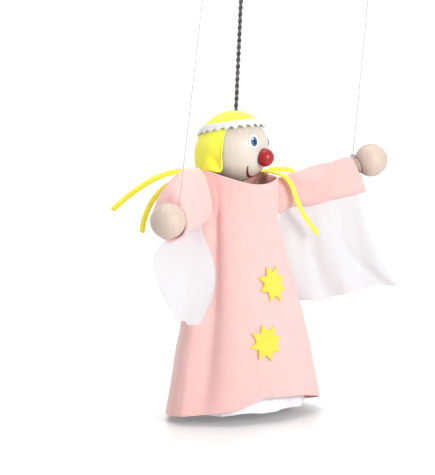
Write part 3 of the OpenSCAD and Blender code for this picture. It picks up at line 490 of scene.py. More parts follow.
def painted_ovals(name, width, height, middle, under, coat):
    """A rounded film of paint on the head at each eye, on top of the films under it."""
    mesh = bmesh.new()
    for side in SIDE_NAMES:
        facing = face_on(side * eye_azimuth, eye_rise)
        loops = []
        for share, lift in film_rings:
            loop = []
            for i in range(film_cols if share else 1):
                a = 2 * math.pi * i / film_cols
                place = facing @ on_ball(middle[0] + share * width / 2 * math.cos(a),
                                         middle[1] + share * height / 2 * math.sin(a), under + coat * lift)
                loop.append(mesh.verts.new(on_stand(place)))
            loops.append(loop)
        for i in range(film_cols):
            k = (i + 1) % film_cols
            mesh.faces.new((loops[0][0], loops[1][i], loops[1][k]))
            for low, high in zip(loops[1:], loops[2:]):
                mesh.faces.new((low[i], high[i], high[k], low[k]))
        mesh.faces.new(tuple(reversed(loops[-1])))
    bmesh.ops.recalc_face_normals(mesh, faces=mesh.faces)
    made = bpy.data.meshes.new(name)
    mesh.to_mesh(made)
    made.shade_smooth()
    return shown(name, made)


def hand_paint(name, full, shade, gloss):
    """A brushed paint in a colour of its own."""
    return finish(name, paint_effect, bump=0.1, bump_height=0.1, Colour=full, Shade=shade, Gloss=gloss)


white_paint = hand_paint("white_paint", (228, 232, 238), (214, 219, 228), 0.3)
rim_paint = hand_paint("rim_paint", (16, 54, 102), (10, 38, 80), 0.25)
blue_paint = hand_paint("blue_paint", (36, 94, 146), (24, 76, 124), 0.25)
deep_blue_paint = hand_paint("deep_blue_paint", (14, 46, 86), (10, 36, 70), 0.2)
# Each film of paint: width, height, middle, the paint under it, its own thickness, paint and slot
eye_films = {"painted_eye_whites": (7.6, 9.4, (0, 0), 0, 0.3, white_paint, "white_paint"),
             "painted_iris_rims": (4.9, 6.3, (0, -0.2), 0.3, 0.12, rim_paint, "blue_paint"),
             "painted_irises": (4.1, 5.3, (-0.2, 0), 0.4, 0.1, blue_paint, "blue_paint"),
             "painted_pupils": (2.2, 3, (0.3, -0.5), 0.48, 0.1, deep_blue_paint, "blue_paint"),
             # painted highlight: this white dot on each iris stands in for the light caught on the eye
             "painted_highlight_dots": (1.5, 1.8, (-1.1, 1.6), 0.5, 0.12, white_paint, "white_paint")}
films = {name: dressed(painted_ovals(name, *sizes), paint, "head")
         for name, (*sizes, paint, slot) in eye_films.items()}
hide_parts("eye_whites")
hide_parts("eye_irises")

# Mouth. One stroke of dark red paint, drawn with a fine brush from cheek to cheek. It is thick in
# the middle and thin where the brush was set down and lifted.
smile_r = 10.9
smile_w = 1.3
smile_drop = 6.9
smile_from, smile_to = 198, 342
smile_coat = 0.3
smile_steps = 44
smile_tip = 0.35
smile_section = ((-1, -0.5), (-0.9, 0.5), (-0.5, 1), (0.5, 1), (0.9, 0.5), (1, -0.5))
smile_rows = []
for i in range(smile_steps + 1):
    a = math.radians(smile_from + (smile_to - smile_from) * i / smile_steps)
    half = smile_w / 2 * (smile_tip + (1 - smile_tip) * math.sin(math.pi * i / smile_steps) ** 0.6)
    smile_rows.append([face_on(0, 0) @ on_ball((smile_r + across * half) * math.cos(a),
                                               (smile_r + across * half) * math.sin(a) - smile_drop,
                                               smile_coat * lift) for across, lift in smile_section])
smile_paint = hand_paint("smile_paint", (148, 38, 56), (128, 28, 46), 0.3)
smile = dressed(skin("painted_smile", smile_rows, ring=True, capped=True), smile_paint, "head")
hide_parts("mouth_line")

# Hair. One piece of thick yellow wool felt is shaped over the skull, left open at the face and cut
# straight at the neck. It is glued down, and stands off a little where it was cut.
hair_r = 27.2
hair_skull_r = 24.75
hair_t = 1.4
hair_open = 76
hair_foot = -14
hair_brow = 16
hair_cols, hair_rows = 120, 40
hair_crease, hair_crease_at = 2.6, 96
hair_wave = 0.45
hair_tilt = 7
hair_edge_turn, hair_edge_over = 5, 12
hair_lock, hair_lock_past, hair_lock_spread = 1.6, 4, 14
hair_loose_at, hair_loose_over = -2, 12
hair_pressed = 0.35
hair_crown_at, hair_crown_over = 14, 9
hair_crease_slant, hair_crease_spread, hair_crease_over = 0.9, 7, 7
hair_swell, hair_swell_past, hair_swell_spread = 0.8, 26, 20


def felted_wool():
    """Pressed fibre: a soft uneven nap with loose curls of fibre, and shade in its hollows."""
    group, given = effect("felted_wool", Nap=0.9, Patches=0.5)
    place = coordinates(group)
    curls = node_in(group, "TexNoise", Vector=place, Scale=given["Nap"], Detail=6, Roughness=0.7,
                    Distortion=1.6)
    pits = node_in(group, "TexVoronoi", Vector=place, Scale=1.7)
    clouds = node_in(group, "TexNoise", Vector=place, Scale=0.12, Detail=3)
    uneven = node_in(group, "Math", clouds, given["Patches"], mode="MULTIPLY")
    total = node_in(group, "Math", curls, 0.7, uneven, mode="MULTIPLY_ADD")
    spread = node_in(group, "MapRange", total, 0.4, 0.95, 0, 1)
    height = node_in(group, "Math", pits, 0.5, curls, mode="MULTIPLY_ADD")
    return puts_out(group, Colour=toned(group, spread, given["Colour"], given["Shade"]), Height=height)


felt_effect = felted_wool()
felt_glow = {"Roughness": 0.95, "Sheen Weight": 0.3, "Sheen Roughness": 0.5, "Subsurface Weight": 0.4,
             "Subsurface Scale": 0.003}
yellow_felt = finish("yellow_felt", felt_effect, bump=0.7, bump_height=0.35, shader=felt_glow,
                     Colour=(255, 250, 84), Shade=(254, 232, 26), Patches=0.4)


def eased(x):
    """A share that starts and ends softly, from 0 to 1."""
    x = min(1, max(0, x))
    return x * x * (3 - 2 * x)


def gap_between(a, b):
    """How far bearing a is past bearing b, within half a turn each way."""
    return (a - b + 180) % 360 - 180


def hump(a, middle, spread):
    """A soft swell round a bearing, 1 at its middle."""
    return math.exp(-(gap_between(a, middle) / spread) ** 2)


def thickened(piece, thickness, outward=-1):
    """Gives a sheet its thickness, with a rounded edge, and fixes both into its mesh."""
    solid = piece.modifiers.new("thickness", "SOLIDIFY")
    solid.thickness = thickness / 1000
    solid.offset = outward
    solid.use_even_offset = True
    solid.use_quality_normals = True
    bevel = piece.modifiers.new("edge", "BEVEL")
    bevel.width = thickness * 0.3 / 1000
    bevel.segments = 2
    bevel.limit_method = "ANGLE"
    bevel.angle_limit = math.radians(50)
    bpy.context.view_layer.update()
    changed = piece.evaluated_get(bpy.context.evaluated_depsgraph_get())
    mesh = bpy.data.meshes.new_from_object(changed)
    piece.modifiers.clear()
    piece.data = mesh
    return piece


def hair_surface(bearing, down):
    """Bearing runs round the head from the nose; down is 0 at the crown and 1 at the cut edge."""
    # The edge lies high over the face, turns down beside it and goes low round the neck
    off_face = abs(gap_between(bearing, 0))
    opened = 1 - eased((off_face - hair_open + hair_edge_turn) / hair_edge_over)
    low = (hair_foot + (hair_brow - hair_foot) * opened
           - hair_lock * hump(off_face, hair_open + hair_lock_past, hair_lock_spread))
    low_rise = math.degrees(math.asin(min(1, max(-1, low / hair_skull_r))))
    rise = 90 + (low_rise - 90) * down
    z = hair_skull_r * math.sin(math.radians(rise))
    # It lies close on the skull and stands off below, with slack waves and one crease by the ear
    stand = eased(1 - (z - hair_loose_at) / hair_loose_over) * (hair_r - hair_skull_r - 0.5)
    wave = hair_wave * noise.noise(Vector((bearing / 16, z / 14, 3))) * eased(down * 2)
    r = hair_skull_r - hair_pressed + stand + wave - eased((z - hair_crown_at) / hair_crown_over)
    crease = (hump(bearing, -hair_crease_at - z * hair_crease_slant, hair_crease_spread)
              * eased((hair_loose_at - z) / hair_crease_over))
    swell = hump(bearing, -hair_crease_at - hair_swell_past, hair_swell_spread) * eased((2 - z) / 9)
    r -= hair_crease * crease - hair_swell * swell
    # Round over the crown, and nearly straight down the sides
    flat = math.sqrt(max(0, r * r - z * z * (0.1 if z < 0 else (r / hair_skull_r) ** 2)))
    a = math.radians(bearing - 90)
    return head_frame @ turned("X", -hair_tilt) @ Vector((flat * math.cos(a), flat * math.sin(a), z))


hair_rings = []
for i in range(hair_rows):
    down = 0.02 + 0.98 * i / (hair_rows - 1)
    hair_rings.append([hair_surface(360 * j / hair_cols, down) for j in range(hair_cols)])
hair = thickened(skin("felt_hair", hair_rings, ring=True, outward=True), hair_t)
dressed(hair, yellow_felt, "head")
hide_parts("hair_cap")

# Headband. White zigzag braid, plaited of thick cotton cords. It goes once round the hair, low at
# the back of the head, and is glued to the felt.
band_rise = 34
band_tilt = 12
band_r = hair_skull_r + 0.35
band_w = 5.4
band_teeth = 24
tooth_cols = 12
tooth_depth = 0.2
band_t = 0.8
# Across the braid: its share of half the width, and of the thickness
band_section = ((-1, 0.25), (-0.94, 0.7), (-0.5, 1), (0, 0.9), (0.5, 1), (0.94, 0.7), (1, 0.25),
                (0.94, 0), (-0.94, 0), (-1, 0.25))


def woven_cord():
    """Plaited cotton: cords that cross on a slant, with fine threads in them."""
    group, given = effect("woven_cord", Cord_size=0.5)
    first, second = [node_in(group, "TexWave", Vector=coordinates(group, tilt=(0, slant, 20)),
                             Scale=given["Cord size"], Distortion=1.2) for slant in (50, -50)]
    threads = node_in(group, "TexNoise", Vector=coordinates(group), Scale=3, Detail=3)
    plait = node_in(group, "Math", first, second, mode="MAXIMUM")
    height = node_in(group, "Math", threads, 0.4, plait, mode="MULTIPLY_ADD")
    return puts_out(group, Colour=toned(group, plait, given["Shade"], given["Colour"]), Height=height)


cord_effect = woven_cord()
white_braid = finish("white_braid", cord_effect, bump=0.5, bump_height=0.3,
                     shader={"Roughness": 0.85, "Sheen Weight": 0.2},
                     Colour=(234, 234, 235), Shade=(206, 205, 207))
band_cols = band_teeth * tooth_cols


def band_loop(across, lift):
    """Once round the head: the braid's lower edge is toothed, its upper edge less so."""
    loop = []
    for j in range(band_cols):
        tooth = 2 * math.pi * j / tooth_cols
        wave = tooth_depth * math.cos(tooth) * (1 if across < 0 else 0.35)
        e = math.radians(band_rise) + (across * 0.5 + wave) * band_w / band_r
        r = band_r + band_t * lift + 0.12 * math.cos(2 * tooth + 3 * across)
        a = 2 * math.pi * j / band_cols
        loop.append(head_frame @ turned("X", -band_tilt) @ Vector(
            (r * math.cos(e) * math.cos(a), r * math.cos(e) * math.sin(a), r * math.sin(e))))
    return loop


band = dressed(skin("braid_headband", [band_loop(*at) for at in band_section], ring=True), white_braid,
               "head")
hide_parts("headband")

# Body and arms. A block turned from beech, with a tongue at each shoulder, and two beech dowels
# forked round the tongues on steel pins. The block hangs from the rod by a brass screw eye.
body_wood = finish("body_wood", wood_effect, bump=0.2, bump_height=0.2, Colour=(228, 202, 168),
                   Shade=(208, 174, 136), Lines=0.15, Line_size=0.1)
recoat(body_wood, "torso_block", "left_arm_dowel", "right_arm_dowel")
recoat(zinc, "left_shoulder_pin", "right_shoulder_pin")
brass = finish("brass_wire", metal_effect, bump=0.1, bump_height=0.1, shader={"Metallic": 1},
               Colour=(214, 178, 92), Shade=(168, 128, 60), Polish=0.18)
recoat(brass, "neck_screw_eye")

# Hands. Balls turned from the same pale wood as the head. Each is glued on its dowel, and has a
# groove turned at the wrist for the string.
hand_wood = finish("hand_wood", wood_effect, bump=0.15, bump_height=0.15, Colour=(207, 189, 176),
                   Shade=(190, 166, 148), Lines=0.12, Line_size=0.09)
recoat(hand_wood, "left_hand", "right_hand")

# Wrist ties. The hand string's end goes twice round the groove and is knotted on top, with
# two short tails.
arm_swing = {LEFT: 19.3, RIGHT: 41.9}
arm_rise = {LEFT: 18.7, RIGHT: -2.8}
shoulder = (23, 0, 142.5)
groove_at = 67.44
tie_r = 5.6
tie_w = 0.6
tie_turns, tie_steps = 2, 80
tie_thread_r = 0.24
knot_turn = {LEFT: 0, RIGHT: 28}
knot_size, knot_height, knot_drop, knot_r = 0.5, 0.6, 0.9, 0.36
tail_r = 0.26
tails = ((3.2, -1.6), (-2.4, -0.6))


def at_shoulder(side):
    """The shoulder's own place: X out along the arm and level, Z up."""
    heading = -arm_swing[LEFT] if side == LEFT else 180 + arm_swing[RIGHT]
    return Matrix.Translation((side * shoulder[0], shoulder[1], shoulder[2])) @ turned("Z", heading)


def along_arm(side):
    """The arm's own place: X from the shoulder pin to the hand, Y the pin's direction, Z up."""
    return at_shoulder(side) @ turned("Y", -arm_rise[side])


tie_thread = finish("tie_thread", thread_effect, bump=0.4, shader={"Roughness": 0.7},
                    Colour=(222, 214, 210), Shade=(172, 160, 154))
for side, side_name in SIDE_NAMES.items():
    arm, coil = along_arm(side), []
    for i in range(tie_steps + 1):
        a = math.radians(90 - side * knot_turn[side] + 360 * tie_turns * i / tie_steps)
        coil.append(arm @ Vector((groove_at + tie_w * (i / tie_steps - 0.5), tie_r * math.cos(a),
                                  tie_r * math.sin(a))))
    tie = dressed(wire(side_name + "_wrist_wraps", coil, tie_thread_r, sides=8), tie_thread,
                  side_name + "_wrist_loop")
    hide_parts(side_name + "_wrist_tie")
    foot = Vector(string_feet[side])
    curl = small_knot(foot - Vector((0, 0, knot_drop)), knot_size, knot_height, 40)
    dressed(wire(side_name + "_wrist_knot", curl, knot_r, sides=8), tie_thread,
            side_name + "_wrist_loop")
    for tail, (out, drop) in enumerate(tails, start=1):
        line = [foot + Vector((out * t, -0.8 * t, -1 + drop * t * t)) for t in (0, 0.25, 0.5, 0.75, 1)]
        dressed(wire(f"{side_name}_knot_tail_{tail}", line, tail_r, sides=8), tie_thread,
                side_name + "_wrist_loop")

# Dress. Pink felt, sewn up the back and hung from the shoulders. It falls in soft folds, is wide
# and open at the neck, and its hem is lifted in front so that the white petticoat shows.
head_drop_to_neck = 15.3
neck_z = head_height - head_drop_to_neck
felt_t = 1.2
hem_w, hem_depth = 116, 74
dress_levels = (0, 0.39, 0.645, 0.82, 0.97, 1.2)
dress_widths = (hem_w, 89, 68, 56, 56, 56)
dress_depths = (hem_depth, 62, 48, 40, 49, 49)
dress_shifts = (1, 1, 0.65, 0.3, 0.13, 0.13)
skirt_shift = 7.5
hem_flare = 2.4
fold_depth = 4
# Each fold: its bearing, its spread and how far it goes in, as a share of the deepest
folds = ((-145, 12, 1.8), (-165, 13, -0.7), (-52, 16, 0.55), (-20, 13, -0.4), (24, 14, 0.8),
         (62, 14, -0.6), (95, 12, 0.5), (128, 13, -0.5), (160, 12, 0.6))
# Each chest fold and the side seam: bearing, spread, depth, level and how far it runs up and down
chest_folds = ((-149, 8, 2.7, 0.79, 0.14), (-167, 9, -1.4, 0.9, 0.12), (-30, 8, -1.6, 0.88, 0.2),
               (-5, 9, 3.4, 0.9, 0.14), (-161, 2.2, -0.8, 0.03, 0.2))
front = -80
hem_low, hem_low_at, hem_tip = 2.5, 60, 6.5
hem_lift, hem_lift_spreads = 10, (38, 75)
hem_waves = ((-98, 9, 1.8), (-116, 7, -0.8))
neck_stand = 0.4
neck_dip, neck_dip_spreads = 7.3, (48, 75)
neck_waves = ((90, 55, -3.5), (-165, 26, 2.2))
dress_cols, dress_rows = 200, 72


def between(values, level):
    """A smooth value at a level of the dress, from 0 at the hem to 1 at the neck."""
    at = np.array(dress_levels)
    slopes = np.gradient(values, at)
    i = int(np.clip(np.searchsorted(at, level) - 1, 0, len(at) - 2))
    step = at[i + 1] - at[i]
    t = (level - at[i]) / step
    eased_low, eased_high = (1 + 2 * t) * (1 - t) ** 2, t * t * (3 - 2 * t)
    curved = (eased_low * values[i] + t * (1 - t) ** 2 * step * slopes[i] + eased_high * values[i + 1]
              + t * t * (t - 1) * step * slopes[i + 1])
    return 0.5 * curved + 0.5 * float(np.interp(level, at, values))


def fold_in(a, level):
    """How far the folds push the felt in, at a bearing and a level."""
    run = min(1, max(0, 0.12 + 0.94 * level))
    skirt = (fold_depth * math.sin(math.pi * run) * (1 - 0.45 * level)
             * sum(share * hump(a, middle, spread) for middle, spread, share in folds))
    return skirt + sum(depth * hump(a, middle, spread) * math.exp(-((level - at) / reach) ** 2)
                       for middle, spread, depth, at, reach in chest_folds)


def front_hump(a, near, far):
    """A swell at the front of the dress, which runs further to one side than to the other."""
    return hump(a, front, near if gap_between(a, front) < 0 else far)


def hem_z(a):
    """The hem's height: it tips towards one side, is lifted in front, and waves beside the lift."""
    tipped = hem_low + hem_tip * (1 - math.cos(math.radians(a - hem_low_at))) / 2
    return (tipped + hem_lift * front_hump(a, *hem_lift_spreads)
            + sum(rise * hump(a, middle, spread) for middle, spread, rise in hem_waves))


def neck_edge_z(a):
    """The neck's height: it is open in front, lower at the back, and stands up by one shoulder."""
    return (neck_z + neck_stand - neck_dip * front_hump(a, *neck_dip_spreads)
            + sum(rise * hump(a, middle, spread) for middle, spread, rise in neck_waves))


def dress_place(a, z, inset=0):
    """A place on the dress at a bearing and a height."""
    level = z / neck_z
    inward = inset + fold_in(a, level)
    rumple = 0.5 * noise.noise(Vector((a / 22, z / 16, 1))) + 0.25 * noise.noise(Vector((a / 9, z / 8, 5)))
    inward += rumple * eased(level * 3) * (1 if inset == 0 else 0.6)
    return Vector(((between(dress_widths, level) / 2 - inward) * math.cos(math.radians(a))
                   + hem_flare * max(0, 1 - level) ** 2,
                   (between(dress_depths, level) / 2 - inward) * math.sin(math.radians(a))
                   - skirt_shift * between(dress_shifts, level), z))


pink_felt = finish("pink_felt", felt_effect, bump=0.6, bump_height=0.35, shader=felt_glow,
                   Colour=(239, 192, 188), Shade=(236, 177, 172), Patches=0.3)
dress_grid = []
for i in range(dress_rows):
    share = i / (dress_rows - 1)
    dress_grid.append([dress_place(a, hem_z(a) + share * (neck_edge_z(a) - hem_z(a)))
                       for a in (360 * j / dress_cols for j in range(dress_cols))])
dress = thickened(skin("felt_dress", dress_grid, ring=True), felt_t)
dressed(dress, pink_felt, "torso")
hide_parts("dress_body")

# Petticoat. Thin white cotton, gathered round the turned body under the dress, where it is out of
# sight. Its ruffled hem shows where the dress is lifted.
cotton_t = 0.5
petticoat_w, petticoat_depth, petticoat_waist = 94, 60, 32.2
petticoat_low, petticoat_top = 8.5, 103
petticoat_cols, petticoat_rows = 180, 32
ruffles, ruffle_depth = 9, 0.03
white_cotton = finish("white_cotton", cord_effect, bump=0.3, bump_height=0.15,
                      shader={"Roughness": 0.9, "Sheen Weight": 0.15},
                      Colour=(236, 236, 239), Shade=(218, 219, 226), Cord_size=1.4)
petticoat_rings = []
for i in range(petticoat_rows):
    share = i / (petticoat_rows - 1)
    spread = 1 - share ** 1.3
    ring = []
    for j in range(petticoat_cols):
        a = 2 * math.pi * j / petticoat_cols
        ruffle = 1 + ruffle_depth * spread * (math.cos(ruffles * a)
                                              + 0.4 * math.sin(3 * ruffles * a + 2 * math.sin(3 * a)))
        half_w = petticoat_waist / 2 + spread * (petticoat_w - petticoat_waist) / 2
        half_d = petticoat_waist / 2 + spread * (petticoat_depth - petticoat_waist) / 2
        ring.append(Vector((half_w * ruffle * math.cos(a),
                            half_d * ruffle * math.sin(a) - skirt_shift * math.sqrt(spread),
                            petticoat_low + share * (petticoat_top - petticoat_low)
                            + 0.5 * spread * math.sin(ruffles * a))))
    petticoat_rings.append(ring)
petticoat = thickened(skin("cotton_petticoat", petticoat_rings, ring=True), cotton_t)
dressed(petticoat, white_cotton, "torso")
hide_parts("petticoat")

# Sleeves. Each is a wide tube of the dress felt, sewn in round the shoulder, so that it flows out
# of the dress. It hangs from the arm, opens to a wide cuff, and bends at the shoulder as it lifts.
sleeve_l = 63
cuff_h = {LEFT: 27, RIGHT: 23}
cuff_w = {LEFT: 24, RIGHT: 22}
cuff_shift = {LEFT: 0, RIGHT: 3}
puff_h = {LEFT: 0, RIGHT: 16}
swell_w = {LEFT: 0, RIGHT: 5}
puff_from, puff_over, puff_falls_from = 0.1, 0.22, 0.5
pinch_w = {LEFT: 3.8, RIGHT: 0}
pinch_at, pinch_spread = 0.24, 0.16
opens_from = 0.15
collar_r = 6.5
cuff_gap = 0.3
cuff_ragged = {LEFT: 2.6, RIGHT: 0.8}
ragged_from = 0.8
shoulder_half_w, shoulder_half_h = 9.6, 10.6
armhole = {LEFT: (13, 22), RIGHT: (188, 29)}
armhole_z, armhole_half = 143.5, 17
root_share = 0.3
sleeve_cols, sleeve_rows = 96, 64


def puff(share):
    """How far the felt of the pushed-up right sleeve stands off the arm, along the sleeve."""
    falls = max(0, (share - puff_falls_from) / (1 - puff_falls_from))
    return eased((share - puff_from) / puff_over) * math.sqrt(max(0, 1 - falls ** 2))


def sleeve_ring_place(side, share, turn):
    """A place on the sleeve's free part, in the arm's own place."""
    opened = max(0, (share - opens_from) / (1 - opens_from))
    half_w = shoulder_half_w + (cuff_w[side] / 2 - shoulder_half_w) * opened
    half_h = shoulder_half_h + (cuff_h[side] / 2 - shoulder_half_h) * opened
    sag = opened * (cuff_h[side] / 2 - collar_r - felt_t - cuff_gap)
    crease = (0.9 * math.sin(turn * 2 + share * 9) + 0.5 * math.sin(turn * 3 - share * 14 + side)) * (
        math.sin(math.pi * min(1, share * 1.1)) * 0.8 + 0.1)
    r_w = half_w + crease + (swell_w[side] * puff(share) if math.cos(turn) < 0 else 0)
    pinch = math.exp(-((share - pinch_at) / pinch_spread) ** 2)
    r_w -= pinch_w[side] * pinch * (1 if math.cos(turn) < 0 else 0)
    r_h = half_h + crease + (puff_h[side] * puff(share) if math.sin(turn) > 0 else 0)
    ragged = noise.noise(Vector((2.2 * math.cos(turn), 2.2 * math.sin(turn), 7 + side)))
    ragged = (cuff_ragged[side] * (ragged + 0.7 * (1 - math.sin(turn)))
              * eased((share - ragged_from) / (1 - ragged_from)))
    return Vector((share * sleeve_l + ragged, r_w * math.cos(turn) - cuff_shift[side] * opened,
                   r_h * math.sin(turn) - sag))


def sleeve_place(side, share, turn):
    """A place on the whole sleeve: it leaves the dress along its surface and turns into the tube."""
    arm = along_arm(side)
    if share >= root_share:
        return arm @ sleeve_ring_place(side, share, turn)
    t = share / root_share
    middle, half = armhole[side]
    bearing = middle + side * half * math.cos(turn)
    height = armhole_z + armhole_half * math.sin(turn)
    root = dress_place(bearing, height, inset=felt_t * 0.7)
    tube = sleeve_ring_place(side, root_share, turn)
    corner = tube - Vector((sleeve_l * (root_share - 0.1), 0, 0))
    return bent(root, arm @ corner, arm @ tube, t)


for side, side_name in SIDE_NAMES.items():
    rings = [[sleeve_place(side, i / (sleeve_rows - 1), 2 * math.pi * j / sleeve_cols)
              for j in range(sleeve_cols)] for i in range(sleeve_rows)]
    tube = skin(side_name + "_felt_sleeve", rings, ring=True, outward=True)
    sleeve = dressed(thickened(tube, felt_t), pink_felt)
    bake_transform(sleeve)
    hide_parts(side_name + "_sleeve")

# Hair ends. Two narrow strips of the hair's felt leave it over each shoulder and lie on the sleeves
# in loose curls.
strip_w = 3.6
strip_t = 1.2
strip_unit = 60
strip_root = 159.3
strip_loose = {"left_short": 0.5, "left_long": 0.25}
strip_lap = 0.02
strip_face, strip_face_from, strip_face_over = Vector((0.1, -1, 0.6)), 0.15, 0.3
strip_end = 0.9
strip_steps = 60
# Round a strip's section: shares of half its width and of half its thickness
strip_section = ((-1, -0.5), (-0.8, -1), (0.8, -1), (1, -0.5), (1, 0.5), (0.8, 1), (-0.8, 1), (-1, 0.5))
strip_routes = {
    "left_short": [(0.385, 0.125, 0.029), (0.46, 0.09, 0.035), (0.54, 0.00, 0.05), (0.66, -0.04, 0.045),
                   (0.74, -0.07, 0.015)],
    "left_long": [(0.393, 0.098, 0.028), (0.46, 0.04, 0.025), (0.50, -0.08, 0.01), (0.545, -0.19, -0.025),
                  (0.58, -0.27, -0.12), (0.61, -0.29, -0.23), (0.69, -0.31, -0.41), (0.78, -0.33, -0.54),
                  (0.87, -0.35, -0.66)],
    "right_long": [(-0.342, 0.235, 0.067), (-0.42, 0.29, 0.068), (-0.54, 0.32, 0.05), (-0.71, 0.34, 0.01),
                   (-0.88, 0.36, -0.06), (-1.11, 0.39, -0.20), (-1.29, 0.41, -0.34)],
    "right_short": [(-0.378, 0.171, 0.067), (-0.45, 0.20, 0.06), (-0.58, 0.18, 0.00), (-0.81, 0.18, -0.13),
                    (-0.98, 0.13, -0.27), (-1.10, 0.06, -0.43), (-1.16, 0.00, -0.55)]}


def glide(values, t):
    """A smooth line through evenly spaced places or numbers, for t from 0 to 1."""
    last = len(values) - 1
    k = min(last - 1, int(t * last))
    f = t * last - k
    a, b, c, d = values[max(k - 1, 0)], values[k], values[k + 1], values[min(k + 2, last)]
    return (b + (c - a) * (f / 2) + (2 * a - 5 * b + 4 * c - d) * (f * f / 2)
            + (3 * (b - c) + d - a) * (f ** 3 / 2))


def ribbon(name, route, first=0, last=1):
    """A flat strip of felt along part of a route. Its edges are soft and its end is cut square."""
    gone_by = [first + (last - first) * i / strip_steps for i in range(strip_steps + 1)]
    line = [glide(route, gone) for gone in gone_by]
    rows = []
    for i, (here, gone) in enumerate(zip(line, gone_by)):
        along = (line[min(i + 1, strip_steps)] - line[max(i - 1, 0)]).normalized()
        wanted = Vector((0, 0, 1)).lerp(strip_face, eased((gone - strip_face_from) / strip_face_over))
        side_on = along.cross(wanted).normalized()
        up = side_on.cross(along)
        half = strip_w / 2 * (strip_end if i == strip_steps else 1)
        rows.append([here + side_on * x * half + up * y * strip_t / 2 for x, y in strip_section])
    return skin(name, rows, ring=True, capped=True)


for name, places in strip_routes.items():
    side_name = name.split("_")[0]
    route = [Vector(p) * strip_unit + Vector((0, 0, strip_root)) for p in places]
    loose = strip_loose.get(name, 1)
    strip = dressed(ribbon(name + "_hair_end", route, last=loose), yellow_felt)
    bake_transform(strip)
    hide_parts(side_name + "_hair_strips")
    if loose < 1:
        laid = ribbon(name + "_hair_end_on_sleeve", route, first=loose - strip_lap)
        dressed(laid, yellow_felt)
        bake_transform(laid)

# Stars. Two eight-pointed stars are cut from yellow felt with plain scissors and glued to the front
# of the skirt, where they follow its curve.
star_d = 24.5
star_t = 1.4
star_inner = 0.62
star_seats = {"upper": (-76, 0.56, -19.5), "lower": (-92.5, 0.336, -12)}
star_gap = 0.35
star_points = 8
side_steps = 6
seat_tries, seat_step = 8, 12
# Each ring of a star, out over its top and back under it: its share of the size and of the thickness
star_rings = ((0.02, 1), (0.25, 1), (0.5, 1), (0.75, 1), (0.93, 1), (0.98, 0.9), (1, 0.65), (1, 0.2),
              (0.97, 0), (0.5, 0), (0.02, 0))


def felt_star(name, bearing, level, spin):
    """The outline runs round in rings, from the middle out, and lies on the dress's own curve."""
    seat = dress_place(bearing, level * neck_z)
    side_on = (dress_place(bearing + 12, seat.z) - dress_place(bearing - 12, seat.z)).normalized()
    up = dress_place(bearing, seat.z + 8) - dress_place(bearing, seat.z - 8)
    out = side_on.cross(up).normalized()
    up = out.cross(side_on)
    corners = []
    for k in range(2 * star_points + 1):
        r, a = star_d / 2 * (star_inner if k % 2 else 1), math.radians(180 * k / star_points + spin)
        corners.append(Vector((r * math.sin(a), r * math.cos(a))))
    rows = []
    for share, lift in star_rings:
        row = []
        for j in range(2 * star_points * side_steps):
            corner, t = divmod(j, side_steps)
            place = share * corners[corner].lerp(corners[corner + 1], t / side_steps)
            on_plane = seat + side_on * place.x + up * place.y
            # Step round the dress at this height until it lies under the place
            near = bearing
            for _ in range(seat_tries):
                trial = dress_place(near, on_plane.z)
                ahead = dress_place(near + 1, on_plane.z) - trial
                step = (on_plane - trial).dot(side_on) / max(0.05, ahead.dot(side_on))
                near += max(-seat_step, min(seat_step, step))
            row.append(dress_place(near, on_plane.z) + out * (star_gap + star_t * lift))
        rows.append(row)
    return skin(name, rows, ring=True, capped=True, outward=True)


star_felt = finish("star_felt", felt_effect, bump=0.7, bump_height=0.35, shader=felt_glow,
                   Colour=(248, 214, 78), Shade=(246, 200, 40), Patches=0.3)
for kind, (bearing, level, spin) in star_seats.items():
    star = dressed(felt_star(kind + "_felt_star", bearing, level, spin), star_felt, "torso")
    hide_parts(kind + "_star")

# Wings. Thin white voile is cut in long rounded leaves, gathered along the underside of each
# sleeve and left to hang, so each wing shows a few soft folds.
wing_reach = 94
wing_t = 0.35
wing_root = 0.15
wing_fold = {LEFT: 1.9, RIGHT: 1.3}
wing_torn = 2.6
wing_folds = 2.5
wing_tuck = 0.6
wing_root_tuck = 2.5
wing_ripple = 0.7
wing_cols, wing_rows = 73, 64
# Each wing's broad crease: where along the sleeve it starts, how far it slants, its spread and depth
wing_crease = {LEFT: (0.48, 0.42, 0.06, 2.2), RIGHT: (0.33, -0.14, 0.05, 2.6)}
wing_tops = {LEFT: (0.03, 0.02, 0, 0, 0), RIGHT: (0, 0.01, 0, -0.035, -0.06)}
wing_mids = {LEFT: ((0.14, 0.05, -0.40), (0.33, 0.03, -0.40), (0.49, 0, -0.385), (0.65, 0.015, -0.36),
                    (0.81, 0, -0.33)),
             RIGHT: ((0.24, 0.08, -0.42), (0.34, 0.16, -0.43), (0.50, 0.14, -0.42), (0.66, 0.01, -0.40),
                     (0.84, -0.09, -0.35))}
wing_lows = {LEFT: ((0.27, 0.07, -0.73), (0.45, 0.04, -0.73), (0.62, 0.02, -0.69), (0.80, 0.02, -0.65),
                    (1, 0, -0.63)),
             RIGHT: ((0.37, 0.05, -0.72), (0.45, 0.09, -0.76), (0.55, 0.08, -0.76), (0.64, 0.05, -0.74),
                     (0.72, 0.02, -0.69))}


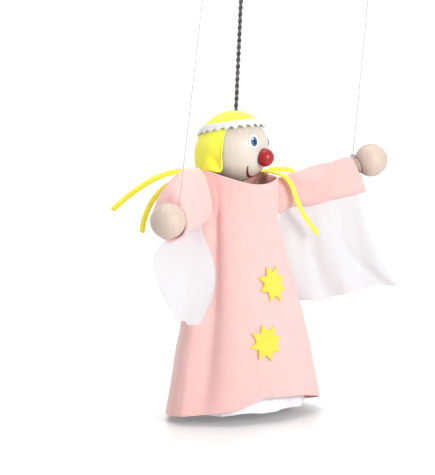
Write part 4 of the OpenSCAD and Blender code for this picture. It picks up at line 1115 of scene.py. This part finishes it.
def wing_place(side, across, down):
    """A place on a wing: across runs along the sleeve, and down is 0 at it and 1 at the free edge."""
    share = wing_root + (1 - wing_root) * across
    sleeve_top = sleeve_ring_place(side, max(share, root_share), -math.pi / 2)
    sideways = wing_reach * glide(wing_tops[side], across)
    rise = math.radians(arm_rise[side])
    under = -sleeve_top.z - wing_tuck - wing_root_tuck * (1 - min(1, share / root_share))
    s = share * sleeve_l
    top = Vector((s * math.cos(rise) + under * math.sin(rise), sideways,
                  s * math.sin(rise) - under * math.cos(rise)))
    mid = wing_reach * glide([Vector(p) for p in wing_mids[side]], across)
    low = wing_reach * glide([Vector(p) for p in wing_lows[side]], across)
    fold = wing_fold[side] * down * math.cos(math.radians(360 * wing_folds * across + 60))
    fold += wing_ripple * math.sin(across * 37 + down * 4) * down * (1.2 - down)
    start, slant, spread, depth = wing_crease[side]
    fold += depth * down * math.exp(-((across - start - slant * down) / spread) ** 2)
    torn = wing_torn * noise.noise(Vector((across * 7, 3, side))) * down ** 6
    return (top * (1 - down) * (1 - 2 * down) + mid * 4 * down * (1 - down) + low * down * (2 * down - 1)
            + Vector((0, fold, torn)))


white_voile = finish("white_voile", cord_effect, bump=0.25, bump_height=0.12,
                     shader={"Roughness": 0.75, "Sheen Weight": 0.2, "Subsurface Weight": 0.3,
                             "Subsurface Scale": 0.004, "Subsurface Radius": (1, 1, 1), "Alpha": 0.74},
                     Colour=(227, 225, 227), Shade=(215, 214, 218), Cord_size=1.6)
for side, side_name in SIDE_NAMES.items():
    hung = at_shoulder(side)
    rows = [[hung @ wing_place(side, j / (wing_cols - 1), i / (wing_rows - 1)) for j in range(wing_cols)]
            for i in range(wing_rows)]
    wing = dressed(thickened(skin(side_name + "_voile_wing", rows), wing_t, outward=0), white_voile)
    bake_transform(wing)
    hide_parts(side_name + "_wing")

# Control. Two oiled bars: the main bar is fixed across the rod, and the rocker turns on a steel
# screw in its front end. The strings come up through the rocker's ends, under small turned beads.
bar_wood = finish("bar_wood", wood_effect, bump=0.25, bump_height=0.2, Colour=(194, 158, 112),
                  Shade=(160, 120, 76), Lines=0.6, Line_size=0.2)
recoat(bar_wood, "main_bar", "rocker_bar")
recoat(zinc, "rocker_screw", "rocker_washer")
recoat(body_wood, "left_stop_bead", "right_stop_bead")
